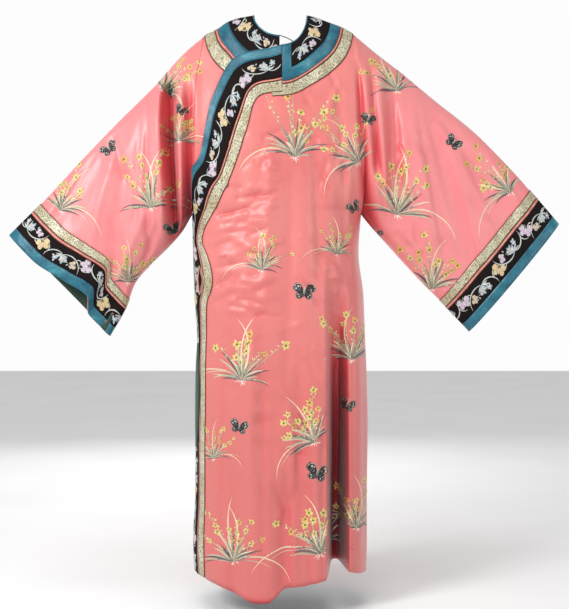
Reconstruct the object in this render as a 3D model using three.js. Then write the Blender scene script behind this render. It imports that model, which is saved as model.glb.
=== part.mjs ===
import * as THREE from 'three';

// All sizes are millimetres. X runs to the side with the closed armhole, Y to the back, Z up.
// The origin is midway between the two neck points, where the shoulders carry the robe.

// Cloth and seams
const WALL = 1.6;
const TRIM_FROM = 0.3;
const TRIM_TO = 1.5;
const SEAM_HALF = 0.15;
const ARMHOLE_HALF = 0.3;
const BAND_HALF = 0.22;
const EDGE_WIDTH = 113;
const ARMPIT_CLEAR = 5.5;
const LAP = 3;
const LAP_OVER_COLLAR = 4.1;
const SHOULDER_ROUND = 170;

// Neck opening
const NECK_RIGHT = 58;
const NECK_LEFT = 61;
const NECK_CENTRE = 3;
const FRONT_DROP = 83;
const BACK_DROP = 60;
const UNDER_DROP = 56;
const UNDER_EDGE = -3;

// Shares of the width of an edging, from its free edge inwards
const EDGE = { binding: 0.035, teal: 0.21, mid: 0.36, collar: 0.51, black: 0.73, ribbon: 0.78, all: 1 };
const EDGE_ROWS = [0, EDGE.binding, EDGE.teal, EDGE.mid, EDGE.collar, EDGE.black, EDGE.ribbon, EDGE.all];

// Cuff edging, distances in from the cuff's edge
const CUFF = { teal: 23, mid: 47, black: 71, ribbon: 79, all: 102 };

// Outline and depth of the body at each height.
// arm is how far the armhole's edge stands forward, round the power of the cross section.
const BODY = [
  { z: 20, left: -175, right: 165, front: 56, back: 54, arm: 56, round: 0.85 },
  { z: -46, left: -175.5, right: 165.5, front: 66, back: 62, arm: 66, round: 0.85 },
  { z: -150, left: -186, right: 176, front: 98, back: 88, arm: 84, round: 0.8 },
  { z: -250, left: -193, right: 183, front: 118, back: 104, arm: 88, round: 0.72 },
  { z: -340, left: -197, right: 188, front: 127, back: 112, arm: 74, round: 0.6 },
  { z: -400, left: -199, right: 188, front: 129, back: 115, arm: 53, round: 0.52 },
  { z: -440, left: -199, right: 186, front: 130, back: 116, arm: 24, round: 0.46 },
  { z: -455, left: -199, right: 184, front: 130, back: 117, arm: 0, round: 0.44 },
  { z: -545, left: -197, right: 178, front: 132, back: 118, arm: 0, round: 0.44 },
  { z: -640, left: -194, right: 189, front: 135, back: 121, arm: 0, round: 0.43 },
  { z: -741, left: -187.5, right: 193, front: 138, back: 124, arm: 0, round: 0.43 },
  { z: -807, left: -189.5, right: 196, front: 140, back: 126, arm: 0, round: 0.42 },
  { z: -930, left: -191, right: 199, front: 143, back: 129, arm: 0, round: 0.42 },
  { z: -1100, left: -192, right: 197, front: 147, back: 133, arm: 0, round: 0.42 },
  { z: -1200, left: -197, right: 197, front: 149, back: 135, arm: 0, round: 0.42 },
  { z: -1310, left: -190, right: 194, front: 151, back: 137, arm: 0, round: 0.42 },
];
const ARMPIT = -455;
const BACK_ARM = 0.9;

// Shoulder line from one armhole to the other
const SHOULDER = [
  { x: -176, z: -46 },
  { x: -143, z: -29 },
  { x: -118, z: -13 },
  { x: -61, z: 0 },
  { x: 0, z: 5 },
  { x: 58, z: 0 },
  { x: 112, z: -17 },
  { x: 139, z: -27 },
  { x: 165.5, z: -42 },
];

// Outer edge of the collar's ribbon on the front, by turn in degrees from the centre
const RING = [
  { turn: 0, x: 3, z: -205 },
  { turn: 7, x: 20, z: -202.5 },
  { turn: 23, x: 64.5, z: -180 },
  { turn: 39, x: 103.5, z: -154 },
  { turn: 58, x: 141, z: -115 },
  { turn: 73, x: 158, z: -77 },
  { turn: 90, x: 165, z: -42 },
];
const RING_BACK = { shoulder: -42, drop: 128 };
const RING_RIGHT = 165;
const RING_LEFT = 175.5;
const SHOULDER_GAP = 0.004;
const LEFT_LOWER = 4.5;

// Front edging from the neck round to the side and down to the hem.
// Outer and inner edge of each station; out_round counts round the body from the side, in half turns.
const EDGING = [
  { out_x: -24, out_z: -92, in_x: -12, in_z: -205.5 },
  { out_x: -64, out_z: -99, in_x: -31, in_z: -208 },
  { out_x: -92, out_z: -109, in_x: -46, in_z: -214 },
  { out_x: -114, out_z: -127, in_x: -57, in_z: -227 },
  { out_x: -127, out_z: -150, in_x: -64, in_z: -243 },
  { out_x: -142, out_z: -184, in_x: -70, in_z: -265 },
  { out_x: -156, out_z: -221, in_x: -80, in_z: -299 },
  { out_x: -167, out_z: -279, in_x: -97, in_z: -350 },
  { out_x: -178, out_z: -333, in_x: -114, in_z: -394 },
  { out_round: 0.05, out_z: -364, in_x: -125, in_z: -417 },
  { out_round: 0.012, out_z: -395, in_x: -137, in_z: -442 },
  { out_round: 0.012, out_z: -430, in_x: -152, in_z: -468 },
  { out_round: -0.012, out_z: -470, in_x: -168, in_z: -497 },
  { out_round: -0.035, out_z: -512, in_x: -173, in_z: -521 },
  { out_round: -0.045, out_z: -550, in_x: -161, in_z: -554 },
  { out_round: -0.045, out_z: -580, in_x: -152, in_z: -582 },
  { out_round: -0.045, out_z: -608, in_x: -148.5, in_z: -609 },
  { out_round: -0.045, out_z: -633, in_x: -152, in_z: -633 },
  { out_round: -0.045, out_z: -656, in_x: -161, in_z: -656 },
  { out_round: -0.045, out_z: -700, in_x: -163, in_z: -700 },
  { out_round: -0.045, out_z: -760, in_x: -164, in_z: -760 },
  { out_round: -0.045, out_z: -825, in_x: -165, in_z: -825 },
  { out_round: -0.045, out_z: -900, in_x: -165, in_z: -900 },
  { out_round: -0.045, out_z: -980, in_x: -166, in_z: -980 },
  { out_round: -0.045, out_z: -1060, in_x: -166, in_z: -1060 },
  { out_round: -0.045, out_z: -1135, in_x: -167, in_z: -1135 },
  { out_round: -0.045, out_z: -1200, in_x: -168, in_z: -1200 },
  { out_round: -0.045, out_z: -1262, in_x: -166, in_z: -1270 },
];

// Where the rows of the front meet its right edge, one for each station of the edging
const FRONT_RIGHT = { top: -42, armpit_rows: 12, hem: -1268 };

// Front hem by distance across, back hem by share of the way round
const HEM = [
  { x: -185, z: -1268 },
  { x: -150, z: -1277 },
  { x: -120, z: -1288 },
  { x: -90, z: -1300 },
  { x: -60, z: -1310 },
  { x: -30, z: -1309 },
  { x: -8, z: -1294 },
  { x: 8, z: -1281 },
  { x: 60, z: -1273 },
  { x: 98, z: -1265 },
  { x: 120, z: -1245 },
  { x: 150, z: -1254 },
  { x: 175, z: -1263 },
  { x: 196, z: -1268 },
];
const BACK_HEM = { z: -1268, wave: 5, waves: 3 };

// Deep fold that runs down beside the right side of the front
const DEEP = { start: 98, floor: 117, floor_end: 127, end: 154 };
const DEEP_BY_HEIGHT = [
  { z: -600, depth: 0 },
  { z: -720, depth: 26 },
  { z: -850, depth: 58 },
  { z: -1000, depth: 82 },
  { z: -1150, depth: 102 },
  { z: -1320, depth: 118 },
];

// Soft folds: a line across the cloth from one end to the other, half width, and height outwards
const FOLDS = [
  { face: 1, x1: -203, z1: -80, x2: -214, z2: -470, half: 20, out: 14 },
  { face: 1, x1: -258, z1: -115, x2: -236, z2: -500, half: 17, out: -22 },
  { face: 1, x1: -300, z1: -170, x2: -285, z2: -540, half: 24, out: 10 },
  { face: 1, x1: -330, z1: -215, x2: -520, z2: -520, half: 26, out: -9 },
  { face: 1, x1: -340, z1: -300, x2: -400, z2: -650, half: 24, out: -10 },
  { face: 1, x1: 200, z1: -100, x2: 215, z2: -460, half: 22, out: 10 },
  { face: 1, x1: 240, z1: -130, x2: 268, z2: -520, half: 22, out: -12 },
  { face: 1, x1: 290, z1: -170, x2: 350, z2: -590, half: 26, out: 9 },
  { face: 1, x1: 330, z1: -210, x2: 450, z2: -640, half: 26, out: -10 },
  { face: 1, x1: 420, z1: -280, x2: 560, z2: -560, half: 28, out: -8 },
  { face: 1, x1: -42, z1: -940, x2: -42, z2: -1380, half: 32, out: 13 },
  { face: 1, x1: 10, z1: -1000, x2: 10, z2: -1380, half: 18, out: -10 },
  { face: 1, x1: -98, z1: -980, x2: -104, z2: -1380, half: 18, out: -9 },
  { face: 1, x1: 60, z1: -420, x2: 72, z2: -1380, half: 26, out: 7 },
  { face: -1, x1: 205, z1: -100, x2: 225, z2: -470, half: 22, out: 10 },
  { face: -1, x1: 260, z1: -140, x2: 300, z2: -560, half: 24, out: -12 },
  { face: -1, x1: 350, z1: -230, x2: 470, z2: -620, half: 28, out: -9 },
  { face: -1, x1: -205, z1: -100, x2: -225, z2: -470, half: 22, out: 10 },
  { face: -1, x1: -262, z1: -140, x2: -300, z2: -560, half: 24, out: -12 },
  { face: -1, x1: -350, z1: -230, x2: -470, z2: -620, half: 28, out: -9 },
  { face: -1, x1: -70, z1: -500, x2: -90, z2: -1380, half: 28, out: -14 },
  { face: -1, x1: 0, z1: -560, x2: 0, z2: -1380, half: 30, out: 10 },
  { face: -1, x1: 72, z1: -480, x2: 92, z2: -1380, half: 28, out: -14 },
];

// Sleeves: fold line on top and under seam at shares of the way to the cuff, and half depth
const SLEEVE_LEFT = [
  { s: 0, top_x: -175.5, top_z: -46, low_x: -199, low_z: -457, deep: 80 },
  { s: 0.12, top_x: -225, top_z: -88, low_x: -222, low_z: -493, deep: 77 },
  { s: 0.28, top_x: -290, top_z: -161, low_x: -262, low_z: -535, deep: 71 },
  { s: 0.45, top_x: -370, top_z: -240, low_x: -305, low_z: -577, deep: 64 },
  { s: 0.62, top_x: -455, top_z: -328, low_x: -335, low_z: -614, deep: 57 },
  { s: 0.8, top_x: -540, top_z: -420, low_x: -355, low_z: -665, deep: 49 },
  { s: 1, top_x: -624, top_z: -504, low_x: -394, low_z: -735, deep: 42 },
];
const SLEEVE_RIGHT = [
  { s: 0, top_x: 165.5, top_z: -42, low_x: 184.5, low_z: -456, deep: 80 },
  { s: 0.12, top_x: 213, top_z: -82, low_x: 205, low_z: -482, deep: 77 },
  { s: 0.28, top_x: 276, top_z: -131, low_x: 240, low_z: -521, deep: 71 },
  { s: 0.45, top_x: 355, top_z: -196, low_x: 284, low_z: -570, deep: 64 },
  { s: 0.62, top_x: 440, top_z: -264, low_x: 330, low_z: -619, deep: 57 },
  { s: 0.8, top_x: 528, top_z: -352, low_x: 376, low_z: -664, deep: 49 },
  { s: 1, top_x: 638, top_z: -478, low_x: 433, low_z: -724, deep: 42 },
];
const SLEEVE_ROWS = [0, 0.06, 0.13, 0.21, 0.3, 0.39, 0.48, 0.57, 0.66];
const SLEEVE_ROUND = 28;
const EVEN_PASSES = 120;

// How far the left cuff's front edge is drawn back by its fold, by share of the way down
const CUFF_DRAWN = [
  { share: 0, back: 0 },
  { share: 0.25, back: 1 },
  { share: 0.5, back: 18 },
  { share: 0.7, back: 33 },
  { share: 0.8, back: 2 },
  { share: 1, back: 0 },
];
const CUFF_STEP = { rise: 0.35, from: 0.69, to: 0.82, depth: 16 };

// Colours of the cloths
const CORAL = 0xe8787c;
const TEAL = 0x1f7a8c;
const BLACK = 0x1d1717;
const RIBBON = 0xc9c2a0;
const GREEN = 0x15392e;
const DARK_CORD = 0x2b3a3a;

const clamp = (v, a, b) => Math.min(b, Math.max(a, v));
const lerp = (a, b, t) => a + (b - a) * t;
const smooth = (a, b, v) => {
  const t = clamp((v - a) / (b - a), 0, 1);
  return t * t * (3 - 2 * t);
};

// Monotone cubic through the rows of a table, from column key to column val
function curve(rows, key, val, at) {
  const up = rows[0][key] < rows[rows.length - 1][key];
  const list = up ? rows : [...rows].reverse();
  const n = list.length;
  if (at <= list[0][key]) return list[0][val];
  if (at >= list[n - 1][key]) return list[n - 1][val];
  let k = 0;
  while (at > list[k + 1][key]) k += 1;
  const gap = (i) => list[i + 1][key] - list[i][key];
  const rise = (i) => (list[i + 1][val] - list[i][val]) / gap(i);
  const slope = (i) => {
    if (i === 0) return rise(0);
    if (i === n - 1) return rise(n - 2);
    const a = rise(i - 1);
    const b = rise(i);
    return a * b <= 0 ? 0 : (2 * a * b) / (a + b);
  };
  const h = gap(k);
  const t = (at - list[k][key]) / h;
  const t2 = t * t;
  const t3 = t2 * t;
  return (2 * t3 - 3 * t2 + 1) * list[k][val] + (t3 - 2 * t2 + t) * h * slope(k)
    + (3 * t2 - 2 * t3) * list[k + 1][val] + (t3 - t2) * h * slope(k + 1);
}

// Soft folds at a place on one face
function folds(x, z, face) {
  let sum = 0;
  for (const f of FOLDS) {
    if (f.face !== face) continue;
    const dx = f.x2 - f.x1;
    const dz = f.z2 - f.z1;
    const len2 = dx * dx + dz * dz;
    const along = ((x - f.x1) * dx + (z - f.z1) * dz) / len2;
    if (along <= 0 || along >= 1) continue;
    const off = Math.abs((x - f.x1) * dz - (z - f.z1) * dx) / Math.sqrt(len2);
    sum += f.out * Math.exp(-((off / f.half) ** 2)) * smooth(0, 0.25, along) * smooth(1, 0.8, along);
  }
  return sum;
}

const bodyAt = (z, val) => curve(BODY, 'z', val, z);
const shoulderAt = (x) => curve(SHOULDER, 'x', 'z', x);
const rise = (d) => (d <= 0 ? 0 : d < SHOULDER_ROUND ? Math.sqrt(1 - (1 - d / SHOULDER_ROUND) ** 2) : 1);

function deepFold(x, z) {
  const wall = smooth(DEEP.start, DEEP.floor, x) * smooth(DEEP.end, DEEP.floor_end, x);
  return wall * curve(DEEP_BY_HEIGHT, 'z', 'depth', z);
}

// Depth of the body's cloth in front of or behind the middle plane
function bodyDepth(x, z, face) {
  const left = bodyAt(z, 'left');
  const right = bodyAt(z, 'right');
  const u = clamp((x - left) / (right - left), 0, 1);
  const across = (4 * u * (1 - u)) ** bodyAt(z, 'round');
  const arm = bodyAt(z, 'arm') * (face > 0 ? 1 : BACK_ARM);
  const mid = bodyAt(z, face > 0 ? 'front' : 'back');
  const down = rise(shoulderAt(x) - z);
  const plain = down * (arm + (mid - arm) * across);
  const soft = folds(x, z, face) * smooth(8, 60, plain);
  return plain + soft - (face > 0 ? deepFold(x, z) * smooth(0, 40, plain) : 0);
}

// A place by share round the body and height; 0 to 1 is the front, beyond it the back
function bodyPoint(q, z) {
  const left = bodyAt(z, 'left');
  const right = bodyAt(z, 'right');
  const x = lerp(left, right, (1 - Math.cos(Math.PI * q)) / 2);
  const face = Math.sin(Math.PI * q) >= 0 ? 1 : -1;
  return new THREE.Vector3(x, -face * bodyDepth(x, z, face), z);
}

function roundOf(x, z) {
  const left = bodyAt(z, 'left');
  const right = bodyAt(z, 'right');
  return Math.acos(clamp(1 - (2 * (x - left)) / (right - left), -1, 1)) / Math.PI;
}

// A place near the neck by distance across and turn over the shoulder line
function neckPoint(x, turn) {
  const t = Math.abs(turn);
  const face = turn >= 0 ? 1 : -1;
  const quarter = Math.PI / 2;
  const d = t < quarter ? SHOULDER_ROUND * (1 - Math.cos(t)) : SHOULDER_ROUND * (1 + t - quarter);
  const z = shoulderAt(x) - d;
  return new THREE.Vector3(x, -face * bodyDepth(x, z, face), z);
}

function turnOf(x, z, face) {
  const d = Math.max(0, shoulderAt(x) - z);
  const quarter = Math.PI / 2;
  const t = d < SHOULDER_ROUND ? Math.acos(1 - d / SHOULDER_ROUND) : quarter + d / SHOULDER_ROUND - 1;
  return face * t;
}

// Point with its normal, from a surface of two parameters
function patchPoint(surface, a, b, da, db) {
  const p = surface(a, b);
  const ta = surface(a + da, b).sub(surface(a - da, b));
  const tb = surface(a, b + db).sub(surface(a, b - db));
  return { p, n: ta.cross(tb).normalize() };
}

function outward(v, out) {
  if (v.n.dot(out) < 0) v.n.negate();
  return v;
}

// On the body the parameters run so that the normal always points out, in its deep fold too
const onBody = (q, z) => ({ ...patchPoint(bodyPoint, q, z, 0.002, 0.6), q, z });

function onNeck(x, turn) {
  const got = patchPoint(neckPoint, x, turn, 0.4, 0.004);
  outward(got, new THREE.Vector3(0, got.p.y, 60));
  return { ...got, q: roundOf(x, got.p.z), z: got.p.z };
}

const moved = (v, by) => ({ ...v, p: v.p.clone().addScaledVector(v.n, by) });

// The ring of cloth round the neck. part 0 is the front, 1 and 2 the back, 3 the under front;
// c runs from the centre line to the shoulder and r from the neck's edge outwards.
function ringPoint(part, c, r, gap = SHOULDER_GAP) {
  const rightSide = part < 2;
  const face = part === 0 || part === 3 ? 1 : -1;
  const neck = rightSide ? NECK_RIGHT : -NECK_LEFT;
  const side = rightSide ? RING_RIGHT : -RING_LEFT;
  if (c >= 1) return onNeck(lerp(neck, side, r), face * gap);
  const bend = 1 - (1 - c) ** 2;
  const near = (bend * Math.PI) / 2;
  const far = 90 * bend ** 1.7;
  const drop = [FRONT_DROP, BACK_DROP, BACK_DROP, UNDER_DROP][part];
  let x1 = neck * Math.sin(near);
  let x2 = (side / RING_RIGHT) * curve(RING, 'turn', 'x', far);
  if (part === 0) x1 = Math.max(x1, NECK_CENTRE);
  if (part === 0) x2 = Math.max(x2, NECK_CENTRE);
  if (part === 3) x1 = Math.min(x1, UNDER_EDGE);
  if (part === 3) x2 = Math.min(x2, UNDER_EDGE);
  const z1 = -drop * Math.cos(near);
  const lower = rightSide ? 0 : LEFT_LOWER;
  const z2 = (face > 0 ? curve(RING, 'turn', 'z', far)
    : RING_BACK.shoulder - RING_BACK.drop * Math.cos((far * Math.PI) / 180)) - lower;
  return onNeck(lerp(x1, x2, r), lerp(turnOf(x1, z1, face), turnOf(x2, z2, face), r));
}

// Collects patches of points into one sheet and closes it as a wall
class Sheet {
  constructor() {
    this.points = [];
    this.index = new Map();
    this.faces = [];
  }

  id(v) {
    const key = [v.p.x, v.p.y, v.p.z].map((c) => Math.round(c * 40)).join('_');
    if (!this.index.has(key)) {
      this.index.set(key, this.points.length);
      this.points.push(v);
    }
    return this.index.get(key);
  }

  // How far a triangle faces the same way as its corners' normals
  facing(a, b, c) {
    const [pa, pb, pc] = [a, b, c].map((i) => this.points[i].p);
    const mean = this.points[a].n.clone().add(this.points[b].n).add(this.points[c].n);
    return pb.clone().sub(pa).cross(pc.clone().sub(pa)).dot(mean);
  }

  add(grid) {
    const ids = grid.map((row) => row.map((v) => this.id(v)));
    const fresh = [];
    for (let i = 0; i + 1 < ids.length; i += 1) {
      for (let j = 0; j + 1 < ids[i].length; j += 1) {
        const [a, b, c, d] = [ids[i][j], ids[i + 1][j], ids[i + 1][j + 1], ids[i][j + 1]];
        const ac = this.points[a].p.distanceTo(this.points[c].p);
        const bd = this.points[b].p.distanceTo(this.points[d].p);
        fresh.push(...(ac <= bd ? [[a, b, c], [a, c, d]] : [[a, b, d], [b, c, d]]));
      }
    }
    const real = fresh.filter(([a, b, c]) => a !== b && b !== c && a !== c);
    const way = real.reduce((sum, f) => sum + this.facing(...f), 0);
    this.faces.push(...real.map(([a, b, c]) => (way >= 0 ? [a, b, c] : [a, c, b])));
    return this;
  }

  solid(name, from, to, color, rough) {
    const n = this.points.length;
    const spots = [];
    for (const v of this.points) spots.push(...v.p.clone().addScaledVector(v.n, to).toArray());
    for (const v of this.points) spots.push(...v.p.clone().addScaledVector(v.n, from).toArray());
    const tris = [];
    const once = new Map();
    for (const [a, b, c] of this.faces) {
      tris.push(a, b, c, c + n, b + n, a + n);
      for (const [p, q] of [[a, b], [b, c], [c, a]]) {
        const back = q + '_' + p;
        if (once.has(back)) once.delete(back);
        else once.set(p + '_' + q, [p, q]);
      }
    }
    for (const [p, q] of once.values()) tris.push(q, p, p + n, q, p + n, q + n);
    const geometry = new THREE.BufferGeometry();
    geometry.setAttribute('position', new THREE.Float32BufferAttribute(spots, 3));
    geometry.setIndex(tris);
    const material = new THREE.MeshStandardMaterial({ color, roughness: rough, metalness: 0 });
    const mesh = new THREE.Mesh(geometry, material);
    mesh.name = name;
    return mesh;
  }
}

const span = (from, to, steps) => Array.from({ length: steps + 1 }, (_, i) => lerp(from, to, i / steps));

// Grid between four edges, by blending them; left and right run down, top and bottom across.
// Its rows above the given one are then evened out, so that none of them cross.
function between(top, bottom, left, right, place, evenTo = 0) {
  const rows = left.length - 1;
  const cols = top.length - 1;
  const mix = (key, i, j) => {
    const u = i / cols;
    const v = j / rows;
    const sides = lerp(left[j][key], right[j][key], u) + lerp(top[i][key], bottom[i][key], v);
    return sides - lerp(lerp(top[0][key], top[cols][key], u), lerp(bottom[0][key], bottom[cols][key], u), v);
  };
  const spot = (i, j) => {
    if (j === 0) return { q: top[i].q, z: top[i].z };
    if (i === 0) return { q: left[j].q, z: left[j].z };
    if (i === cols) return { q: right[j].q, z: right[j].z };
    return j === rows ? { q: bottom[i].q, z: bottom[i].z } : { q: mix('q', i, j), z: mix('z', i, j) };
  };
  const flat = left.map((_, j) => top.map((__, i) => spot(i, j)));
  for (let pass = 0; pass < EVEN_PASSES; pass += 1) {
    for (let j = 1; j < evenTo; j += 1) {
      for (let i = 1; i < cols; i += 1) {
        for (const key of ['q', 'z']) {
          const near = flat[j - 1][i][key] + flat[j + 1][i][key] + flat[j][i - 1][key] + flat[j][i + 1][key];
          flat[j][i][key] = near / 4;
        }
      }
    }
  }
  return flat.map((row, j) => row.map((v, i) => {
    if (j === 0) return top[i];
    return i === 0 && left[j].p ? left[j] : place(v.q, v.z, i, j);
  }));
}

// Front, with its edging strip and its part of the neck ring
const FRONT_COLS = 22;
const lapFade = (i) => 1 - smooth(0, 0.3, i / FRONT_COLS);

function frontRing(rows, cols) {
  return cols.map((i) => rows.map((r) => {
    const c = i / FRONT_COLS;
    return moved(ringPoint(0, c, r), LAP_OVER_COLLAR * lapFade(i));
  }));
}

const NEAR_ARMHOLE = 0.05;
const stationLap = (k) => lerp(LAP_OVER_COLLAR, LAP, smooth(10, 13, k));

// Inner and outer end of a station of the front edging, as share round and height
function station(k) {
  const row = EDGING[Math.round(k)];
  const out = row.out_round === undefined ? roundOf(row.out_x, row.out_z) : row.out_round;
  return { q1: out, z1: row.out_z, q2: roundOf(row.in_x, row.in_z), z2: row.in_z };
}

// The edging strip, its first station on the neck ring's centre line
function frontStrip(rows) {
  const first = frontRing(rows, [0])[0];
  const rest = EDGING.map((_, k) => {
    const s = station(k);
    return rows.map((r) => {
      const spot = onBody(lerp(s.q1, s.q2, r), lerp(s.z1, s.z2, r));
      return moved(spot.q < NEAR_ARMHOLE ? flattenSeam(spot) : spot, stationLap(k));
    });
  });
  return [first, ...rest];
}

const hemAt = (q) => {
  const x = bodyPoint(q, BACK_HEM.z).x;
  if (q <= 1) return curve(HEM, 'x', 'z', x);
  return BACK_HEM.z + BACK_HEM.wave * Math.sin(BACK_HEM.waves * Math.PI * (q - 1)) ** 2;
};

// Shares round the lower front, close together over the deep fold
function lowerShares(from, to) {
  const density = (q) => 1 + 4.5 * smooth(0.6, 0.655, q) * smooth(0.81, 0.76, q);
  const steps = 400;
  const sums = [0];
  for (let i = 0; i < steps; i += 1) {
    sums.push(sums[i] + density(lerp(from, to, (i + 0.5) / steps)));
  }
  return span(0, 1, FRONT_COLS).map((w) => {
    const goal = w * sums[steps];
    let i = 0;
    while (i < steps - 1 && sums[i + 1] < goal) i += 1;
    const part = (goal - sums[i]) / (sums[i + 1] - sums[i]);
    return lerp(from, to, (i + part) / steps);
  });
}

function frontMain() {
  const up = FRONT_RIGHT.armpit_rows;
  const last = EDGING.length;
  const strip = frontStrip([EDGE.all]).map((row) => row[0]);
  const left = strip.map((v, k) => (k === 0 ? v : { ...v, q: station(k - 1).q2, z: station(k - 1).z2 }));
  const top = frontRing([EDGE.all], span(0, FRONT_COLS, FRONT_COLS)).map((row) => row[0]);
  const right = left.map((_, j) => {
    const z = j <= up ? lerp(FRONT_RIGHT.top, ARMPIT, j / up)
      : lerp(ARMPIT, FRONT_RIGHT.hem, (j - up) / (last - up));
    return { q: seamShare(z, 1, -1), z };
  });
  const ends = (j) => lowerShares(left[j].q, right[j].q);
  const bottom = ends(last).map((q) => ({ q, z: hemAt(q) }));
  const shares = left.map((_, j) => ends(j));
  return between(top, bottom, left, right, (q, z, i, j) => {
    const spot = onBody(i === FRONT_COLS ? right[j].q : lerp(q, shares[j][i], smooth(up, up + 6, j)), z);
    if (i === FRONT_COLS) return flattenSeam(spot);
    return moved(spot, stationLap(Math.max(0, j - 1)) * lapFade(i));
  }, up + 2);
}

// Share round the body a seam's half gap away from a side
function seamShare(z, side, toward) {
  const width = bodyAt(z, 'right') - bodyAt(z, 'left');
  if (z > ARMPIT) {
    const u = ARMHOLE_HALF / width;
    return side + (toward * Math.acos(1 - 2 * u)) / Math.PI;
  }
  return side + toward * 0.0004;
}

// Seam edges stand square to the seam, so that neighbours never cross
function flattenSeam(v) {
  if (v.z > ARMPIT + 2) v.n.set(0, v.n.y, v.n.z).normalize();
  return v;
}

// Under front: the flap beneath the overlap
const UNDER_COLS = 14;
const UNDER_ROWS = 9;
const UNDER = { foot_x: -118, foot_z: -452, mid_x: -48, mid_z: -320 };

function underRing(rows, from, to) {
  const cols = span(from * UNDER_COLS, to * UNDER_COLS, Math.round((to - from) * UNDER_COLS));
  return cols.map((i) => rows.map((r) => ringPoint(3, i / UNDER_COLS, r)));
}

function underMain() {
  const top = underRing([EDGE.all], 0, 1).map((row) => row[0]);
  const down = span(0, 1, UNDER_ROWS);
  const start = top[0];
  const inner = down.map((v) => {
    const x = (1 - v) ** 2 * start.p.x + 2 * v * (1 - v) * UNDER.mid_x + v * v * UNDER.foot_x;
    const z = (1 - v) ** 2 * start.p.z + 2 * v * (1 - v) * UNDER.mid_z + v * v * UNDER.foot_z;
    return { q: roundOf(x, z), z };
  });
  const outer = down.map((v) => {
    const z = lerp(top[UNDER_COLS].p.z, ARMPIT + 4, v);
    return { q: seamShare(z, 0, 1), z };
  });
  const foot = span(0, 1, UNDER_COLS).map((w) => ({
    q: lerp(inner[UNDER_ROWS].q, outer[UNDER_ROWS].q, w),
    z: lerp(inner[UNDER_ROWS].z, outer[UNDER_ROWS].z, w),
  }));
  const left = inner.map((v, j) => (j === 0 ? top[0] : onBody(v.q, v.z)));
  return between(top, foot, left, outer, (q, z, i) => {
    const spot = onBody(q, z);
    return i === UNDER_COLS ? flattenSeam(spot) : spot;
  });
}

// Back, from the right shoulder round to the left
const BACK_COLS = 22;
const BACK_ROWS = { up: 9, down: 11 };
const BACK_UNDER = 0.05;

function backRing(rows, from = 0, to = BACK_COLS) {
  return span(from, to, Math.round(to - from)).map((i) => {
    const w = (2 * i) / BACK_COLS;
    return rows.map((r) => (w <= 1 ? ringPoint(1, 1 - w, r) : ringPoint(2, w - 1, r)));
  });
}

function backMain() {
  const rows = BACK_ROWS.up + BACK_ROWS.down;
  const top = backRing([EDGE.all]).map((row) => {
    const v = row[0];
    return { ...v, q: 2 - v.q };
  });
  const heights = (first) => span(0, rows, rows).map((j) => (j <= BACK_ROWS.up
    ? lerp(first, ARMPIT, j / BACK_ROWS.up)
    : lerp(ARMPIT, BACK_HEM.z, (j - BACK_ROWS.up) / BACK_ROWS.down)));
  const left = heights(top[0].p.z).map((z, j) => {
    if (j === 0) return top[0];
    return flattenSeam(onBody(seamShare(z, 1, 1), z));
  });
  const right = heights(top[BACK_COLS].p.z).map((z) => {
    const tuck = BACK_UNDER * smooth(ARMPIT - 5, ARMPIT - 70, z);
    return { q: seamShare(z, 2, -1) + tuck, z };
  });
  const bottom = span(left[rows].q, right[rows].q, BACK_COLS).map((q) => ({ q, z: hemAt(Math.min(q, 2)) }));
  return between(top, bottom, left, right, (q, z, i) => {
    const spot = onBody(q, z);
    return i === BACK_COLS ? flattenSeam(spot) : spot;
  });
}

// Sleeves
function sleevePoint(table, s, t) {
  const v = (1 - Math.cos(t)) / 2;
  const face = Math.sin(t) >= 0 ? 1 : -1;
  const at = (key) => curve(table, 's', key, s);
  const leftSide = table[0].top_x < 0;
  const near = 1 - smooth(0, 0.3, s);
  const zIn = lerp(table[0].top_z, table[0].low_z, v);
  const clear = leftSide ? -ARMPIT_CLEAR * smooth(0.8, 0.97, v) : ARMHOLE_HALF;
  const edge = bodyAt(zIn, leftSide ? 'left' : 'right') + clear;
  const bow = (edge - lerp(table[0].top_x, table[0].low_x, v)) * near;
  let x = lerp(at('top_x'), at('low_x'), v) + bow;
  let z = lerp(at('top_z'), at('low_z'), v);
  const arm = bodyAt(zIn, 'arm') * (face > 0 ? 1 : BACK_ARM) * rise(table[0].top_z - zIn);
  const oval = at('deep') * Math.sqrt(Math.max(0, 4 * v * (1 - v)));
  const plain = lerp(oval, arm, near);
  let y = plain + folds(x, z, face) * smooth(8, 50, plain);
  if (leftSide && face > 0) {
    const end = smooth(0.55, 1, s);
    const back = curve(CUFF_DRAWN, 'share', 'back', v) * end;
    x += back * Math.SQRT1_2;
    z += back * Math.SQRT1_2;
    y -= CUFF_STEP.depth * end * smooth(CUFF_STEP.from, CUFF_STEP.to, v) * smooth(1, 0.9, v);
    const swell = smooth(CUFF_STEP.rise, CUFF_STEP.from, v) * smooth(CUFF_STEP.to, CUFF_STEP.from, v);
    y += CUFF_STEP.depth * 0.5 * end * swell;
  }
  return new THREE.Vector3(x, -face * y, z);
}

function onSleeve(table, s, t) {
  const surface = (a, b) => sleevePoint(table, a, b);
  const p = surface(s, t);
  const mid = surface(s, 0).add(surface(s, Math.PI)).multiplyScalar(0.5);
  const out = p.clone().sub(mid);
  const ds = s < 0.01 ? 0.003 : 0.006;
  const v = outward(patchPoint(surface, clamp(s, ds, 1 - ds), t, ds, 0.01), out);
  return { p, n: v.n, z: p.z };
}

const rounds = span(0, 2 * Math.PI, SLEEVE_ROUND).map((t, i) => (i === SLEEVE_ROUND ? 0 : t));

// Share along the sleeve at a distance in from the cuff's edge
function cuffShare(table, t, inward) {
  const run = sleevePoint(table, 1, t).distanceTo(sleevePoint(table, 0.85, t)) / 0.15;
  return 1 - inward / run;
}

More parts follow.
